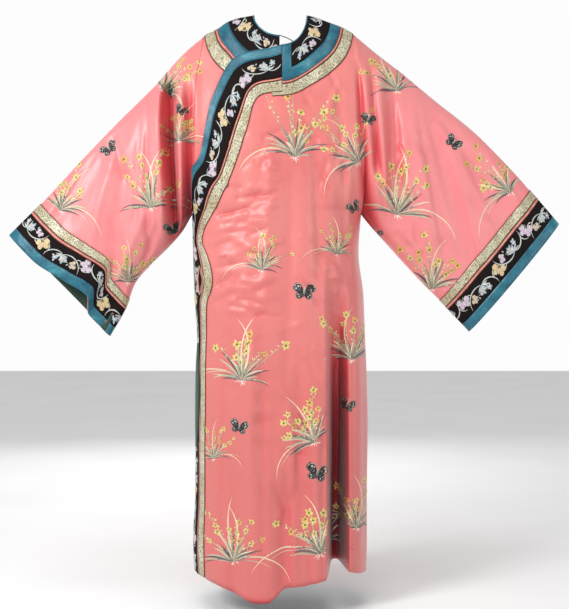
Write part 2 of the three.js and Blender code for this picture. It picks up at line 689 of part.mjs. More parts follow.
function sleeveGrid(table) {
  const start = ARMHOLE_HALF / 420;
  const body = SLEEVE_ROWS.map((s, k) => rounds.map((t) => {
    const v = onSleeve(table, k === 0 ? start : s, t);
    if (k === 0) v.n.set(0, v.n.y, v.n.z).normalize();
    return v;
  }));
  const edge = [CUFF.all, CUFF.ribbon, CUFF.black, CUFF.mid, CUFF.teal, 0]
    .map((d) => rounds.map((t) => onSleeve(table, cuffShare(table, t, d), t)));
  return [...body, ...edge];
}

function cuffBand(table, distances) {
  return distances.map((d) => rounds.map((t) => onSleeve(table, cuffShare(table, t, d), t)));
}

// The roll of lining that shows along the left side opening
const ROLL = { top: -750, foot: -985, steps: 8, from: 0.045, to: 0.118, clear: 0.6 };

function liningRoll() {
  return span(ROLL.top, ROLL.foot, ROLL.steps).map((z, k) => {
    const share = Math.sin((Math.PI * (k + 0.6)) / (ROLL.steps + 1.2));
    const from = lerp(0.075, ROLL.from, share);
    const to = lerp(0.09, ROLL.to, share);
    return span(from, to, 3).map((q) => moved(onBody(q, z), LAP + TRIM_TO + ROLL.clear));
  });
}

// Cord of the neck's loop
const LOOP = { half: 1.1, sides: 8, steps: 6, under_c: 0.03, front_c: 0.17, arch: 3 };

function neckLoop() {
  const rest = TRIM_TO + TRIM_FROM + LOOP.half;
  const from = moved(ringPoint(3, LOOP.under_c, EDGE.binding / 2), rest).p;
  const lap = LAP_OVER_COLLAR * lapFade(LOOP.front_c * FRONT_COLS);
  const to = moved(ringPoint(0, LOOP.front_c, EDGE.binding / 2), lap + rest).p;
  const mid = from.clone().lerp(to, 0.5).add(new THREE.Vector3(0, -LOOP.arch, LOOP.arch));
  const path = new THREE.QuadraticBezierCurve3(from, mid, to);
  const geometry = new THREE.TubeGeometry(path, LOOP.steps, LOOP.half, LOOP.sides, false);
  const spots = geometry.attributes.position;
  const rings = LOOP.steps + 1;
  const ring = LOOP.sides + 1;
  const points = [];
  for (let i = 0; i < rings; i += 1) {
    for (let j = 0; j < LOOP.sides; j += 1) {
      points.push(new THREE.Vector3().fromBufferAttribute(spots, i * ring + j));
    }
  }
  const tris = [];
  for (let i = 0; i + 1 < rings; i += 1) {
    for (let j = 0; j < LOOP.sides; j += 1) {
      const a = i * LOOP.sides + j;
      const b = i * LOOP.sides + ((j + 1) % LOOP.sides);
      tris.push(a, a + LOOP.sides, b, b, a + LOOP.sides, b + LOOP.sides);
    }
  }
  const end = (rings - 1) * LOOP.sides;
  for (let j = 1; j + 1 < LOOP.sides; j += 1) {
    tris.push(0, j, j + 1, end, end + j + 1, end + j);
  }
  const flat = new THREE.BufferGeometry();
  flat.setAttribute('position', new THREE.Float32BufferAttribute(points.flatMap((p) => p.toArray()), 3));
  flat.setIndex(tris);
  const mesh = new THREE.Mesh(flat, new THREE.MeshStandardMaterial({ color: DARK_CORD, roughness: 0.7 }));
  mesh.name = 'neck_loop';
  return mesh;
}

// Rows of a band, drawn in a little from both of its edges so that neighbours stay apart
const bandRows = (list) => list.map((r, k) => {
  const inset = BAND_HALF / EDGE_WIDTH;
  if (k === 0) return r + inset;
  return k === list.length - 1 ? r - inset : r;
});

// Columns of one collar band, round the neck from the front's centre to the under front's
const COLLAR_BLOCK = 3;
const UNDER_END = 5;

function collarBand(rows, frontFrom, underTo) {
  const list = bandRows(rows);
  const frontCols = span(frontFrom, FRONT_COLS, Math.round(FRONT_COLS - frontFrom))
    .map((i) => list.map((r) => moved(ringPoint(0, i / FRONT_COLS, r, 0), LAP_OVER_COLLAR * lapFade(i))));
  const backCols = span(1, BACK_COLS - 1, BACK_COLS - 2).map((i) => {
    const w = (2 * i) / BACK_COLS;
    return list.map((r) => (w <= 1 ? ringPoint(1, 1 - w, r, 0) : ringPoint(2, w - 1, r, 0)));
  });
  const underCols = span(UNDER_COLS, underTo, UNDER_COLS - underTo)
    .map((i) => list.map((r) => ringPoint(3, i / UNDER_COLS, r, 0)));
  return [...frontCols, ...backCols, ...underCols];
}

// The teal block that stands at the front's centre, where the collar begins
function collarBlock() {
  const inset = BAND_HALF / EDGE_WIDTH;
  const rows = [EDGE.binding + inset, EDGE.teal, EDGE.mid, EDGE.collar + inset, EDGE.black - inset];
  return span(0, COLLAR_BLOCK, COLLAR_BLOCK).map((i) => rows.map((r) => (
    moved(ringPoint(0, i / FRONT_COLS, r, 0), LAP_OVER_COLLAR * lapFade(i)))));
}

// One band of the front's edging, set off a little from the collar at its start
function edgingBand(rows) {
  const grid = frontStrip(bandRows(rows));
  grid[0] = grid[0].map((v, j) => ({ ...v, p: v.p.clone().lerp(grid[1][j].p, 0.03) }));
  return grid;
}

const group = new THREE.Group();

const front = new Sheet();
front.add(frontRing(EDGE_ROWS, span(0, FRONT_COLS, FRONT_COLS)));
front.add(frontStrip(EDGE_ROWS));
front.add(frontMain());
group.add(front.solid('front', -WALL, 0, CORAL, 0.45));

const under = new Sheet();
under.add(underRing(EDGE_ROWS, 0, 1));
under.add(underMain());
group.add(under.solid('under_front', -WALL, 0, CORAL, 0.45));

const back = new Sheet();
back.add(backRing(EDGE_ROWS));
back.add(backMain());
group.add(back.solid('back', -WALL, 0, CORAL, 0.45));

const trim = (grids, name, color, rough) => {
  const sheet = new Sheet();
  for (const grid of grids) sheet.add(grid);
  group.add(sheet.solid(name, TRIM_FROM, TRIM_TO, color, rough));
};

const blackRows = [EDGE.binding, EDGE.teal, EDGE.mid, EDGE.collar];
trim([collarBand([0, EDGE.binding], 0, 0)], 'neck_binding', TEAL, 0.4);
trim([collarBand(blackRows, COLLAR_BLOCK + 0.02, 0)], 'collar_black', BLACK, 0.7);
const collarTeal = collarBand([EDGE.collar, EDGE.black], COLLAR_BLOCK, UNDER_END);
trim([collarBlock(), collarTeal], 'collar_teal', TEAL, 0.4);
trim([collarBand([EDGE.ribbon, EDGE.all], 0, UNDER_END)], 'collar_ribbon', RIBBON, 0.6);
trim([edgingBand([0, EDGE.binding, EDGE.teal])], 'front_teal', TEAL, 0.4);
trim([edgingBand([EDGE.teal, EDGE.mid, EDGE.collar, EDGE.black])], 'front_black', BLACK, 0.7);
trim([edgingBand([EDGE.ribbon, EDGE.all])], 'front_ribbon', RIBBON, 0.6);
trim([liningRoll()], 'lining_roll', GREEN, 0.5);
group.add(neckLoop());

for (const [name, table] of [['left', SLEEVE_LEFT], ['right', SLEEVE_RIGHT]]) {
  const half = SEAM_HALF;
  group.add(new Sheet().add(sleeveGrid(table)).solid('sleeve_' + name, -WALL, 0, CORAL, 0.45));
  group.add(new Sheet().add(cuffBand(table, [CUFF.teal - half, 0]))
    .solid('cuff_teal_' + name, TRIM_FROM, TRIM_TO, TEAL, 0.4));
  group.add(new Sheet().add(cuffBand(table, [CUFF.black, CUFF.mid, CUFF.teal + half]))
    .solid('cuff_black_' + name, TRIM_FROM, TRIM_TO, BLACK, 0.7));
  group.add(new Sheet().add(cuffBand(table, [CUFF.all, CUFF.ribbon]))
    .solid('cuff_ribbon_' + name, TRIM_FROM, TRIM_TO, RIBBON, 0.6));
}

export default group;
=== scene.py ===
import math
import random

import bpy
import numpy as np
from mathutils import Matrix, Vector
from mathutils.bvhtree import BVHTree


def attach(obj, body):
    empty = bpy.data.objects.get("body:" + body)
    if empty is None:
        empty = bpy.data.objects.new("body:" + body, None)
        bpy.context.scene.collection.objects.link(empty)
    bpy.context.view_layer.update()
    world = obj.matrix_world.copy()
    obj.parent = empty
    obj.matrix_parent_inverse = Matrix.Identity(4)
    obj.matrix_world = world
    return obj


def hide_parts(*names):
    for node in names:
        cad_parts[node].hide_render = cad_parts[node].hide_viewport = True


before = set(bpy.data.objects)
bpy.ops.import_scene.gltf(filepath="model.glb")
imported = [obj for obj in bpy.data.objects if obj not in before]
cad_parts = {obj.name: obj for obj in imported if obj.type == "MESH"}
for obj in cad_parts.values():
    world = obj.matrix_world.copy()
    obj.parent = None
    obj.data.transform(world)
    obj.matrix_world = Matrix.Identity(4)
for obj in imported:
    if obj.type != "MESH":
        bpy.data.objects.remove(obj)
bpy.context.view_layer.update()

# Sizes are millimetres up to the point where a mesh is made, which is in metres
MM = 0.001
WALL = 1.6
TRIM_FROM = 0.3
TRIM_TO = 1.5
PIPING_FROM, PIPING_TO = 0.2, 0.6
ARMHOLE_HALF = 0.03
LAP = 3.0
LAP_OVER_COLLAR = 4.1
SHOULDER_ROUND = 170.0
ARMPIT = -455.0
ARMPIT_CLEAR = 5.5
BACK_ARM = 0.9
NECK_RIGHT = 58.0
NECK_LEFT = 61.0
NECK_CENTRE = 3.0
UNDER_EDGE = -3.0
NECK_DROP = [83.0, 60.0, 60.0, 56.0]
RING_RIGHT = 165.0
RING_LEFT = 175.5
SHOULDER_END = -42.0
RING_BACK = (SHOULDER_END, 128.0)
SHOULDER_GAP = 0.004
LEFT_LOWER = 4.5
EDGE_WIDTH = 113.0
BAND_HALF = 0.22
BINDING, TEAL, MID, COLLAR, BLACK, RIBBON, ALL = 0.035, 0.21, 0.36, 0.51, 0.73, 0.78, 1.0
CUFF_TEAL, CUFF_BLACK, CUFF_RIBBON, CUFF_ALL = 23.0, 71.0, 79.0, 102.0
FRONT_COLS = BACK_COLS = 22
UNDER_COLS, UNDER_ROWS = 14, 9
UNDER_CURVE = ((0, -48, -118), (2, -320, -452))
COLLAR_BLOCK = 3
UNDER_END = 4


def table(names, rows):
    return {n: np.array(c, float) for n, c in zip(names.split(), zip(*rows))}


BODY = table("z left right front back arm round", [
    (-1310, -190, 194, 151, 137, 0, 0.42), (-1200, -197, 197, 149, 135, 0, 0.42),
    (-1100, -192, 197, 147, 133, 0, 0.42), (-930, -191, 199, 143, 129, 0, 0.42),
    (-807, -189.5, 196, 140, 126, 0, 0.42), (-741, -187.5, 193, 138, 124, 0, 0.43),
    (-640, -194, 189, 135, 121, 0, 0.43), (-545, -197, 178, 132, 118, 0, 0.44),
    (-455, -199, 184, 130, 117, 0, 0.44), (-440, -199, 186, 130, 116, 24, 0.46),
    (-400, -199, 188, 129, 115, 53, 0.52), (-340, -197, 188, 127, 112, 74, 0.6),
    (-250, -193, 183, 118, 104, 88, 0.72), (-150, -186, 176, 98, 88, 84, 0.8),
    (-46, -175.5, 165.5, 66, 62, 66, 0.85), (20, -175, 165, 56, 54, 56, 0.85)])
SHOULDER = table("x z", [
    (-176, -46), (-143, -29), (-118, -13), (-61, 0), (0, 5), (58, 0), (112, -17), (139, -27), (165.5, -42)])
RING = table("turn x z", [
    (0, 3, -205), (7, 20, -202.5), (23, 64.5, -180), (39, 103.5, -154), (58, 141, -115), (73, 158, -77),
    (90, 165, -42)])

# Stations of the front's edging: x z of its outer edge, then of its inner edge. Low down, the outer edge has
# its share of the way round the body in place of x, from 0 at the side line.
EDGING_UP = [(-24, -92, -12, -205.5), (-64, -99, -31, -208), (-92, -109, -46, -214), (-114, -127, -57, -227),
             (-127, -150, -64, -243), (-142, -184, -70, -265), (-156, -221, -80, -299), (-167, -279, -97, -350),
             (-178, -333, -114, -394)]
EDGING_LOW = [(0.05, -364, -125, -417), (0.012, -395, -137, -442), (0.012, -430, -152, -468),
              (-0.012, -470, -168, -497), (-0.035, -512, -173, -521), (-0.045, -550, -161, -554),
              (-0.045, -580, -152, -582), (-0.045, -608, -148.5, -609), (-0.045, -633, -152, -633),
              (-0.045, -656, -161, -656), (-0.045, -700, -163, -700), (-0.045, -760, -164, -760),
              (-0.045, -825, -165, -825), (-0.045, -900, -165, -900), (-0.045, -980, -166, -980),
              (-0.045, -1060, -166, -1060), (-0.045, -1135, -167, -1135), (-0.045, -1200, -168, -1200),
              (-0.045, -1262, -166, -1270)]
HEM = table("x z", [
    (-185, -1268), (-150, -1277), (-120, -1288), (-90, -1300), (-60, -1310), (-30, -1309), (-8, -1294),
    (8, -1281), (60, -1273), (98, -1265), (120, -1245), (150, -1254), (175, -1263), (196, -1268)])
BACK_HEM = -1268.0
DEEP = table("z depth", [(-1320, 118), (-1150, 102), (-1000, 82), (-850, 58), (-720, 26), (-600, 0)])
DEEP_START, DEEP_FLOOR, DEEP_FLOOR_END, DEEP_END = 98.0, 117.0, 127.0, 154.0

# Main folds, as on the solids: face, from x z, to x z, half width, height
FOLDS = [
    (1, -203, -80, -214, -470, 20, 14), (1, -258, -115, -236, -500, 17, -22), (1, -300, -170, -285, -540, 24, 10),
    (1, -330, -215, -520, -520, 26, -9), (1, -340, -300, -400, -650, 24, -10), (1, 200, -100, 215, -460, 22, 10),
    (1, 240, -130, 268, -520, 22, -12), (1, 290, -170, 350, -590, 26, 9), (1, 330, -210, 450, -640, 26, -10),
    (1, 420, -280, 560, -560, 28, -8), (1, -42, -940, -42, -1380, 32, 13), (1, 10, -1000, 10, -1380, 18, -10),
    (1, -98, -980, -104, -1380, 18, -9), (1, 60, -420, 72, -1380, 26, 7), (-1, 205, -100, 225, -470, 22, 10),
    (-1, 260, -140, 300, -560, 24, -12), (-1, 350, -230, 470, -620, 28, -9), (-1, -205, -100, -225, -470, 22, 10),
    (-1, -262, -140, -300, -560, 24, -12), (-1, -350, -230, -470, -620, 28, -9), (-1, -70, -500, -90, -1380, 28, -14),
    (-1, 0, -560, 0, -1380, 30, 10), (-1, 72, -480, 92, -1380, 28, -14)]

# Creases that only the finished cloth has: face, from x z, to x z, half width, height
CREASES = [
    (1, -150, -470, -60, -448, 6, -4.6), (1, -160, -505, -90, -482, 6, 4.2), (1, -130, -505, -62, -500, 5, -3.8),
    (1, -165, -545, -100, -518, 7, -5), (1, -150, -585, -70, -566, 7, -4.4), (1, -150, -628, -85, -600, 7, -5),
    (1, -120, -565, -50, -530, 6, 3.6), (1, -110, -432, -30, -416, 6, -3.4), (1, -150, -665, -95, -632, 8, -4),
    (1, -90, -462, -20, -470, 6, 3), (1, -140, -560, -96, -548, 5, 3), (1, -110, -615, -60, -590, 6, 3),
    (1, -60, -700, -70, -1320, 12, 5), (1, -35, -760, -40, -1320, 9, -5), (1, 20, -820, 30, -1320, 9, 5),
    (1, 100, -640, 104, -1330, 9, 7), (1, 186, -600, 190, -1330, 8, -5), (1, 60, -900, 66, -1330, 9, -5),
    (1, -20, -260, -35, -700, 16, 5.5), (1, 22, -330, 12, -900, 15, -6), (1, 70, -250, 90, -620, 12, -6),
    (1, 120, -150, 150, -450, 10, -4), (1, 100, -200, 118, -480, 10, 3.2), (1, 140, -260, 165, -640, 9, 4),
    (1, 96, -520, 88, -1000, 10, 7), (1, -60, -640, -76, -1120, 16, 6), (1, -120, -700, -128, -1250, 13, -6),
    (1, 40, -700, 48, -1290, 14, -7), (1, 75, -620, 84, -1300, 10, 4), (1, 168, -560, 176, -1290, 9, 5),
    (1, -10, -760, -20, -1200, 10, -2.6), (1, -85, -330, -110, -640, 14, -2.4),
    (1, -205, -130, -208, -520, 10, -24), (1, -226, -90, -227, -520, 9, 12), (1, -252, -100, -240, -560, 12, -32),
    (1, -278, -120, -264, -540, 9, 10), (1, -300, -150, -300, -560, 8, -8), (1, 172, -105, 187, -450, 7, -11),
    (1, 200, -105, 216, -400, 9, -16),
    (1, -240, -200, -228, -500, 6, 6), (1, -312, -200, -330, -500, 10, -5), (1, -360, -250, -440, -560, 9, 4),
    (1, -400, -280, -520, -480, 9, -4), (1, -290, -420, -390, -640, 10, 6), (1, -270, -460, -360, -690, 8, -7),
    (1, -450, -340, -560, -500, 8, 4), (1, -300, -250, -310, -480, 7, -4),
    (1, 222, -110, 236, -470, 7, 6), (1, 262, -150, 300, -540, 9, 6),
    (1, 300, -200, 380, -600, 10, -6), (1, 350, -220, 470, -600, 9, 5), (1, 380, -240, 520, -560, 9, -4),
    (1, 460, -300, 590, -520, 8, 4), (1, 250, -300, 330, -600, 8, -5), (1, 205, -250, 240, -500, 7, -5),
    (-1, -40, -250, -55, -800, 14, 3), (-1, 50, -300, 42, -900, 13, -3), (-1, 110, -200, 130, -700, 12, 4),
    (-1, -120, -220, -140, -760, 12, -4), (-1, -30, -700, -28, -1290, 12, -5), (-1, 35, -760, 44, -1290, 12, 5),
    (-1, 130, -640, 140, -1290, 11, -5), (-1, -130, -700, -142, -1290, 11, 5), (-1, 230, -120, 260, -500, 8, -6),
    (-1, 300, -180, 390, -600, 10, 6), (-1, 400, -260, 530, -560, 9, -5), (-1, -230, -120, -250, -500, 8, -6),
    (-1, -300, -180, -390, -620, 10, 6), (-1, -400, -280, -520, -520, 9, -5), (-1, -60, -500, 40, -488, 9, -2.4),
    (-1, -90, -560, 10, -552, 9, 2.4), (-1, 0, -600, 90, -590, 9, -2.4)]

# Small rumples, as patches: face, count, reach across and down, range of turn in degrees, length, height, half width
RUMPLES = [
    (1, 32, -150, -60, -690, -400, -12, 32, 60, 3.2, 5.6), (1, 18, 30, 120, -760, -500, -50, 5, 48, 3.0, 6.0),
    (1, 14, -130, -20, -430, -300, -10, 35, 50, 2.4, 6.5), (1, 18, -140, 20, -1000, -700, -60, 30, 60, 2.6, 6.5),
    (1, 14, 20, 130, -1230, -800, 60, 115, 90, 3.0, 7.0), (1, 12, 60, 150, -420, -180, 60, 120, 70, 2.6, 6.5),
    (1, 12, -120, 40, -1260, -1000, 50, 120, 80, 3.0, 7.0), (1, 12, -420, -250, -560, -260, -75, -50, 70, 3.6, 9.0),
    (1, 12, 250, 420, -520, -220, -60, -35, 70, 3.8, 9.0), (-1, 14, -120, 60, -700, -420, -20, 20, 60, 2.6, 7.5),
    (-1, 12, -120, 100, -1250, -800, 60, 120, 90, 3.0, 8.0), (-1, 10, 240, 420, -520, -220, -60, -35, 70, 3.6, 9.0),
    (-1, 10, -420, -250, -560, -260, -75, -50, 70, 3.6, 9.0)]


def rumples():
    rng = random.Random(21)
    rows = []
    for face, count, left, right, foot, top, low, high, size, tall, half in RUMPLES:
        for _ in range(count):
            x, z = rng.uniform(left, right), rng.uniform(foot, top)
            long, turn = size * rng.uniform(0.6, 1.4), math.radians(rng.uniform(low, high))
            height = rng.choice((-1, 1)) * tall * rng.uniform(0.65, 1.35)
            far = (x + long * math.cos(turn), z + long * math.sin(turn))
            rows.append((face, x, z) + far + (half * rng.uniform(0.9, 1.3), height))
    return rows


CREASES += rumples()

SLEEVES = {
    "left": table("s top_x top_z low_x low_z deep", [
        (0, -175.5, -46, -199, -457, 80), (0.12, -225, -88, -222, -493, 77), (0.28, -290, -161, -262, -535, 71),
        (0.45, -370, -240, -305, -577, 64), (0.62, -455, -328, -335, -614, 57), (0.8, -540, -420, -355, -665, 49),
        (1, -624, -504, -394, -735, 42)]),
    "right": table("s top_x top_z low_x low_z deep", [
        (0, 165.5, -42, 184.5, -456, 80), (0.12, 213, -82, 205, -482, 77), (0.28, 276, -131, 240, -521, 71),
        (0.45, 355, -196, 284, -570, 64), (0.62, 440, -264, 330, -619, 57), (0.8, 528, -352, 376, -664, 49),
        (1, 638, -478, 433, -724, 42)])}
DRAWN = table("share back", [(0, 0), (0.25, 1), (0.5, 18), (0.7, 33), (0.8, 2), (1, 0)])
STEP_FROM, STEP_TO, STEP_DEPTH = 0.69, 0.82, 16.0


def smooth(a, b, v):
    t = np.clip((np.asarray(v, float) - a) / (b - a), 0, 1)
    return t * t * (3 - 2 * t)


def lerp(a, b, t):
    return a + (b - a) * t


def monotone(x, y, at):
    """Monotone cubic through rising x."""
    at = np.clip(np.asarray(at, float), x[0], x[-1])
    k = np.clip(np.searchsorted(x, at, side="right") - 1, 0, len(x) - 2)
    h = np.diff(x)
    d = np.diff(y) / h
    m = np.empty_like(y)
    m[0], m[-1] = d[0], d[-1]
    a, b = d[:-1], d[1:]
    same = a * b > 0
    m[1:-1] = np.where(same, 2 * a * b / np.where(same, a + b, 1), 0)
    t = (at - x[k]) / h[k]
    t2, t3 = t * t, t * t * t
    return ((2 * t3 - 3 * t2 + 1) * y[k] + (t3 - 2 * t2 + t) * h[k] * m[k]
            + (3 * t2 - 2 * t3) * y[k + 1] + (t3 - t2) * h[k] * m[k + 1])


def body(z, col):
    return monotone(BODY["z"], BODY[col], z)


def shoulder(x):
    return monotone(SHOULDER["x"], SHOULDER["z"], x)


def fold_sum(x, z, face, rows):
    total = np.zeros_like(x)
    for side, x1, z1, x2, z2, half, out in rows:
        dx, dz = x2 - x1, z2 - z1
        len2 = dx * dx + dz * dz
        along = ((x - x1) * dx + (z - z1) * dz) / len2
        off = np.abs((x - x1) * dz - (z - z1) * dx) / math.sqrt(len2)
        near = (face == side) & (along > 0) & (along < 1)
        total += np.where(near, out * np.exp(-(off / half) ** 2) * smooth(0, 0.25, along) * smooth(1, 0.8, along), 0)
    return total


def rise(d):
    return np.sqrt(np.clip(1 - (1 - np.clip(d / SHOULDER_ROUND, 0, 1)) ** 2, 0, 1))


def body_depth(x, z, face):
    left, right = body(z, "left"), body(z, "right")
    u = np.clip((x - left) / (right - left), 0, 1)
    across = np.power(4 * u * (1 - u), body(z, "round"))
    arm = body(z, "arm") * np.where(face > 0, 1, BACK_ARM)
    mid = np.where(face > 0, body(z, "front"), body(z, "back"))
    plain = rise(shoulder(x) - z) * (arm + (mid - arm) * across)
    soft = fold_sum(x, z, face, FOLDS) * smooth(8, 60, plain) + fold_sum(x, z, face, CREASES) * smooth(10, 50, plain)
    deep = (smooth(DEEP_START, DEEP_FLOOR, x) * smooth(DEEP_END, DEEP_FLOOR_END, x)
            * monotone(DEEP["z"], DEEP["depth"], z) * smooth(0, 40, plain))
    return plain + soft - np.where(face > 0, deep, 0)


def body_point(q, z):
    left, right = body(z, "left"), body(z, "right")
    x = lerp(left, right, (1 - np.cos(np.pi * q)) / 2)
    face = np.where(np.sin(np.pi * q) >= 0, 1, -1)
    return np.stack([x, -face * body_depth(x, z, face), z + 0 * x], -1)


def neck_point(x, turn):
    t = np.abs(turn)
    face = np.where(turn >= 0, 1, -1)
    quarter = np.pi / 2
    d = np.where(t < quarter, SHOULDER_ROUND * (1 - np.cos(t)), SHOULDER_ROUND * (1 + t - quarter))
    z = shoulder(x) - d
    return np.stack([x, -face * body_depth(x, z, face), z], -1)


def turn_of(x, z, face):
    d = np.maximum(0, shoulder(x) - z)
    t = np.where(d < SHOULDER_ROUND, np.arccos(np.clip(1 - d / SHOULDER_ROUND, -1, 1)),
                 np.pi / 2 + d / SHOULDER_ROUND - 1)
    return face * t


def round_of(x, z):
    left, right = body(z, "left"), body(z, "right")
    return np.arccos(np.clip(1 - 2 * (x - left) / (right - left), -1, 1)) / np.pi


def unit(v):
    return v / np.maximum(np.linalg.norm(v, axis=-1, keepdims=True), 1e-9)


def with_normal(surface, a, b, da, db, out=None):
    p = surface(a, b)
    n = unit(np.cross(surface(a + da, b) - surface(a - da, b), surface(a, b + db) - surface(a, b - db)))
    if out is None:
        return p, n
    return p, np.where(np.sum(n * out(p), -1, keepdims=True) < 0, -n, n)


def flatten(n, where):
    flat = n.copy()
    flat[..., 0] = np.where(where, 0, flat[..., 0])
    return unit(flat)


def on_body(q, z):
    q, z = np.broadcast_arrays(np.asarray(q, float), np.asarray(z, float))
    return with_normal(body_point, q, z, 0.002, 0.6)


def on_neck(x, turn):
    return with_normal(neck_point, x, turn, 0.4, 0.004, lambda p: p * np.array([0, 1, 0]) + np.array([0, 0, 60.0]))


def ring(part, c, r, gap=SHOULDER_GAP):
    """Neck ring: part 0 front, 1 and 2 back, 3 under front; c from the centre to the shoulder, r outwards."""
    c, r = np.broadcast_arrays(np.asarray(c, float), np.asarray(r, float))
    right = part < 2
    face = 1 if part in (0, 3) else -1
    neck = NECK_RIGHT if right else -NECK_LEFT
    side = RING_RIGHT if right else -RING_LEFT
    bend = 1 - (1 - c) ** 2
    near = bend * np.pi / 2
    far = 90 * bend ** 1.7
    x1 = neck * np.sin(near)
    x2 = side / RING_RIGHT * monotone(RING["turn"], RING["x"], far)
    if part == 0:
        x1, x2 = np.maximum(x1, NECK_CENTRE), np.maximum(x2, NECK_CENTRE)
    if part == 3:
        x1, x2 = np.minimum(x1, UNDER_EDGE), np.minimum(x2, UNDER_EDGE)
    z1 = -NECK_DROP[part] * np.cos(near)
    z2 = (monotone(RING["turn"], RING["z"], far) if face > 0
          else RING_BACK[0] - RING_BACK[1] * np.cos(np.radians(far))) - (0 if right else LEFT_LOWER)
    end = c >= 1 - 1e-9
    x = np.where(end, lerp(neck, side, r), lerp(x1, x2, r))
    turn = np.where(end, face * gap, lerp(turn_of(x1, z1, face), turn_of(x2, z2, face), r))
    return on_neck(x, turn)


def lap_fade(i):
    return 1 - smooth(0, 0.3, np.asarray(i, float) / FRONT_COLS)


def station_lap(k):
    return lerp(LAP_OVER_COLLAR, LAP, smooth(10, 13, k))


STATIONS = []
for ox, oz, ix, iz in EDGING_UP:
    STATIONS.append((float(round_of(ox, oz)), oz, float(round_of(ix, iz)), iz))
for oq, oz, ix, iz in EDGING_LOW:
    STATIONS.append((oq, oz, float(round_of(ix, iz)), iz))
STATIONS = np.array(STATIONS, float)
LAST = len(STATIONS) - 1


def station(k):
    """Ends of the edging's cross line at a fractional station."""
    steps = np.arange(len(STATIONS), dtype=float)
    return [monotone(steps, STATIONS[:, c].copy(), k) for c in range(4)]


def fine(rows, parts):
    """Each gap of a list split in parts."""
    out = [rows[0]]
    for a, b in zip(rows, rows[1:]):
        out += [a + (b - a) * (i + 1) / parts for i in range(parts)]
    return np.array(out, float)


def front_ring(cols, rows, gap=SHOULDER_GAP):
    c, r = np.meshgrid(np.asarray(cols, float) / FRONT_COLS, rows, indexing="ij")
    p, n = ring(0, c, r, gap)
    return p + n * (LAP_OVER_COLLAR * lap_fade(c * FRONT_COLS))[..., None], n


def front_strip(ks, rows, rise=0.0):
    """The edging strip; station -1 is the neck ring's centre line. rise lifts the inner rows near the neck."""
    ks = np.asarray(ks, float)
    k, r = np.meshgrid(np.maximum(ks, 0), rows, indexing="ij")
    r = r - rise * np.clip((r - TEAL) / (BLACK - TEAL), 0, 1) * (1 - smooth(1.0, 5.0, k))
    q1, z1, q2, z2 = station(k)
    q, z = lerp(q1, q2, r), lerp(z1, z2, r)
    p, n = on_body(q, z)
    n = flatten(n, (q < 0.05) & (z > ARMPIT + 2))
    p = p + n * station_lap(k)[..., None]
    first_p, first_n = front_ring([0], r[0])
    w = np.clip(-ks, 0, 1)[:, None, None]
    return lerp(p, first_p, w), unit(lerp(n, first_n, w))


def lower_shares(start, end):
    grid = np.linspace(start, end, 401)
    mid = (grid[1:] + grid[:-1]) / 2
    density = 1 + 4.5 * smooth(0.6, 0.655, mid) * smooth(0.81, 0.76, mid)
    sums = np.concatenate([[0], np.cumsum(density)])
    return np.interp(np.linspace(0, 1, FRONT_COLS + 1) * sums[-1], sums, grid)


def seam_share(z, side, toward):
    width = body(z, "right") - body(z, "left")
    high = np.arccos(1 - 2 * ARMHOLE_HALF / width) / np.pi
    return side + toward * np.where(z > ARMPIT, high, 0.0004)


def hem_at(q):
    q = np.asarray(q, float)
    x = body_point(q, BACK_HEM + 0 * q)[..., 0]
    return np.where(q <= 1, monotone(HEM["x"], HEM["z"], x), BACK_HEM + 5 * np.sin(3 * np.pi * (q - 1)) ** 2)


def blend_edges(top, bottom, left, right, even_to=0):
    """Grid of two values between four edges; rows above even_to are evened out."""
    rows, cols = len(left) - 1, len(top) - 1
    u, v = np.meshgrid(np.arange(cols + 1) / cols, np.arange(rows + 1) / rows)
    u, v = u[..., None], v[..., None]
    grid = (left[:, None] * (1 - u) + right[:, None] * u + top[None] * (1 - v) + bottom[None] * v
            - ((1 - u) * (1 - v) * top[0] + u * (1 - v) * top[-1] + (1 - u) * v * bottom[0] + u * v * bottom[-1]))
    for _ in range(160 if even_to else 0):
        mid = (grid[:-2, 1:-1] + grid[2:, 1:-1] + grid[1:-1, :-2] + grid[1:-1, 2:]) / 4
        grid[1:even_to, 1:-1] = mid[:even_to - 1]
    return grid


def stretch(grid, down, across):
    """A grid with each cell split, rows and columns on smooth curves."""
    for axis, parts in ((0, down), (1, across)):
        n = grid.shape[axis]
        at = np.linspace(0, n - 1, (n - 1) * parts + 1)
        steps = np.arange(n, dtype=float)
        lines = np.moveaxis(grid, axis, 0).reshape(n, -1)
        new = np.stack([monotone(steps, lines[:, c].copy(), at) for c in range(lines.shape[1])], -1)
        grid = np.moveaxis(new.reshape((len(at),) + np.moveaxis(grid, axis, 0).shape[1:]), 0, axis)
    return grid


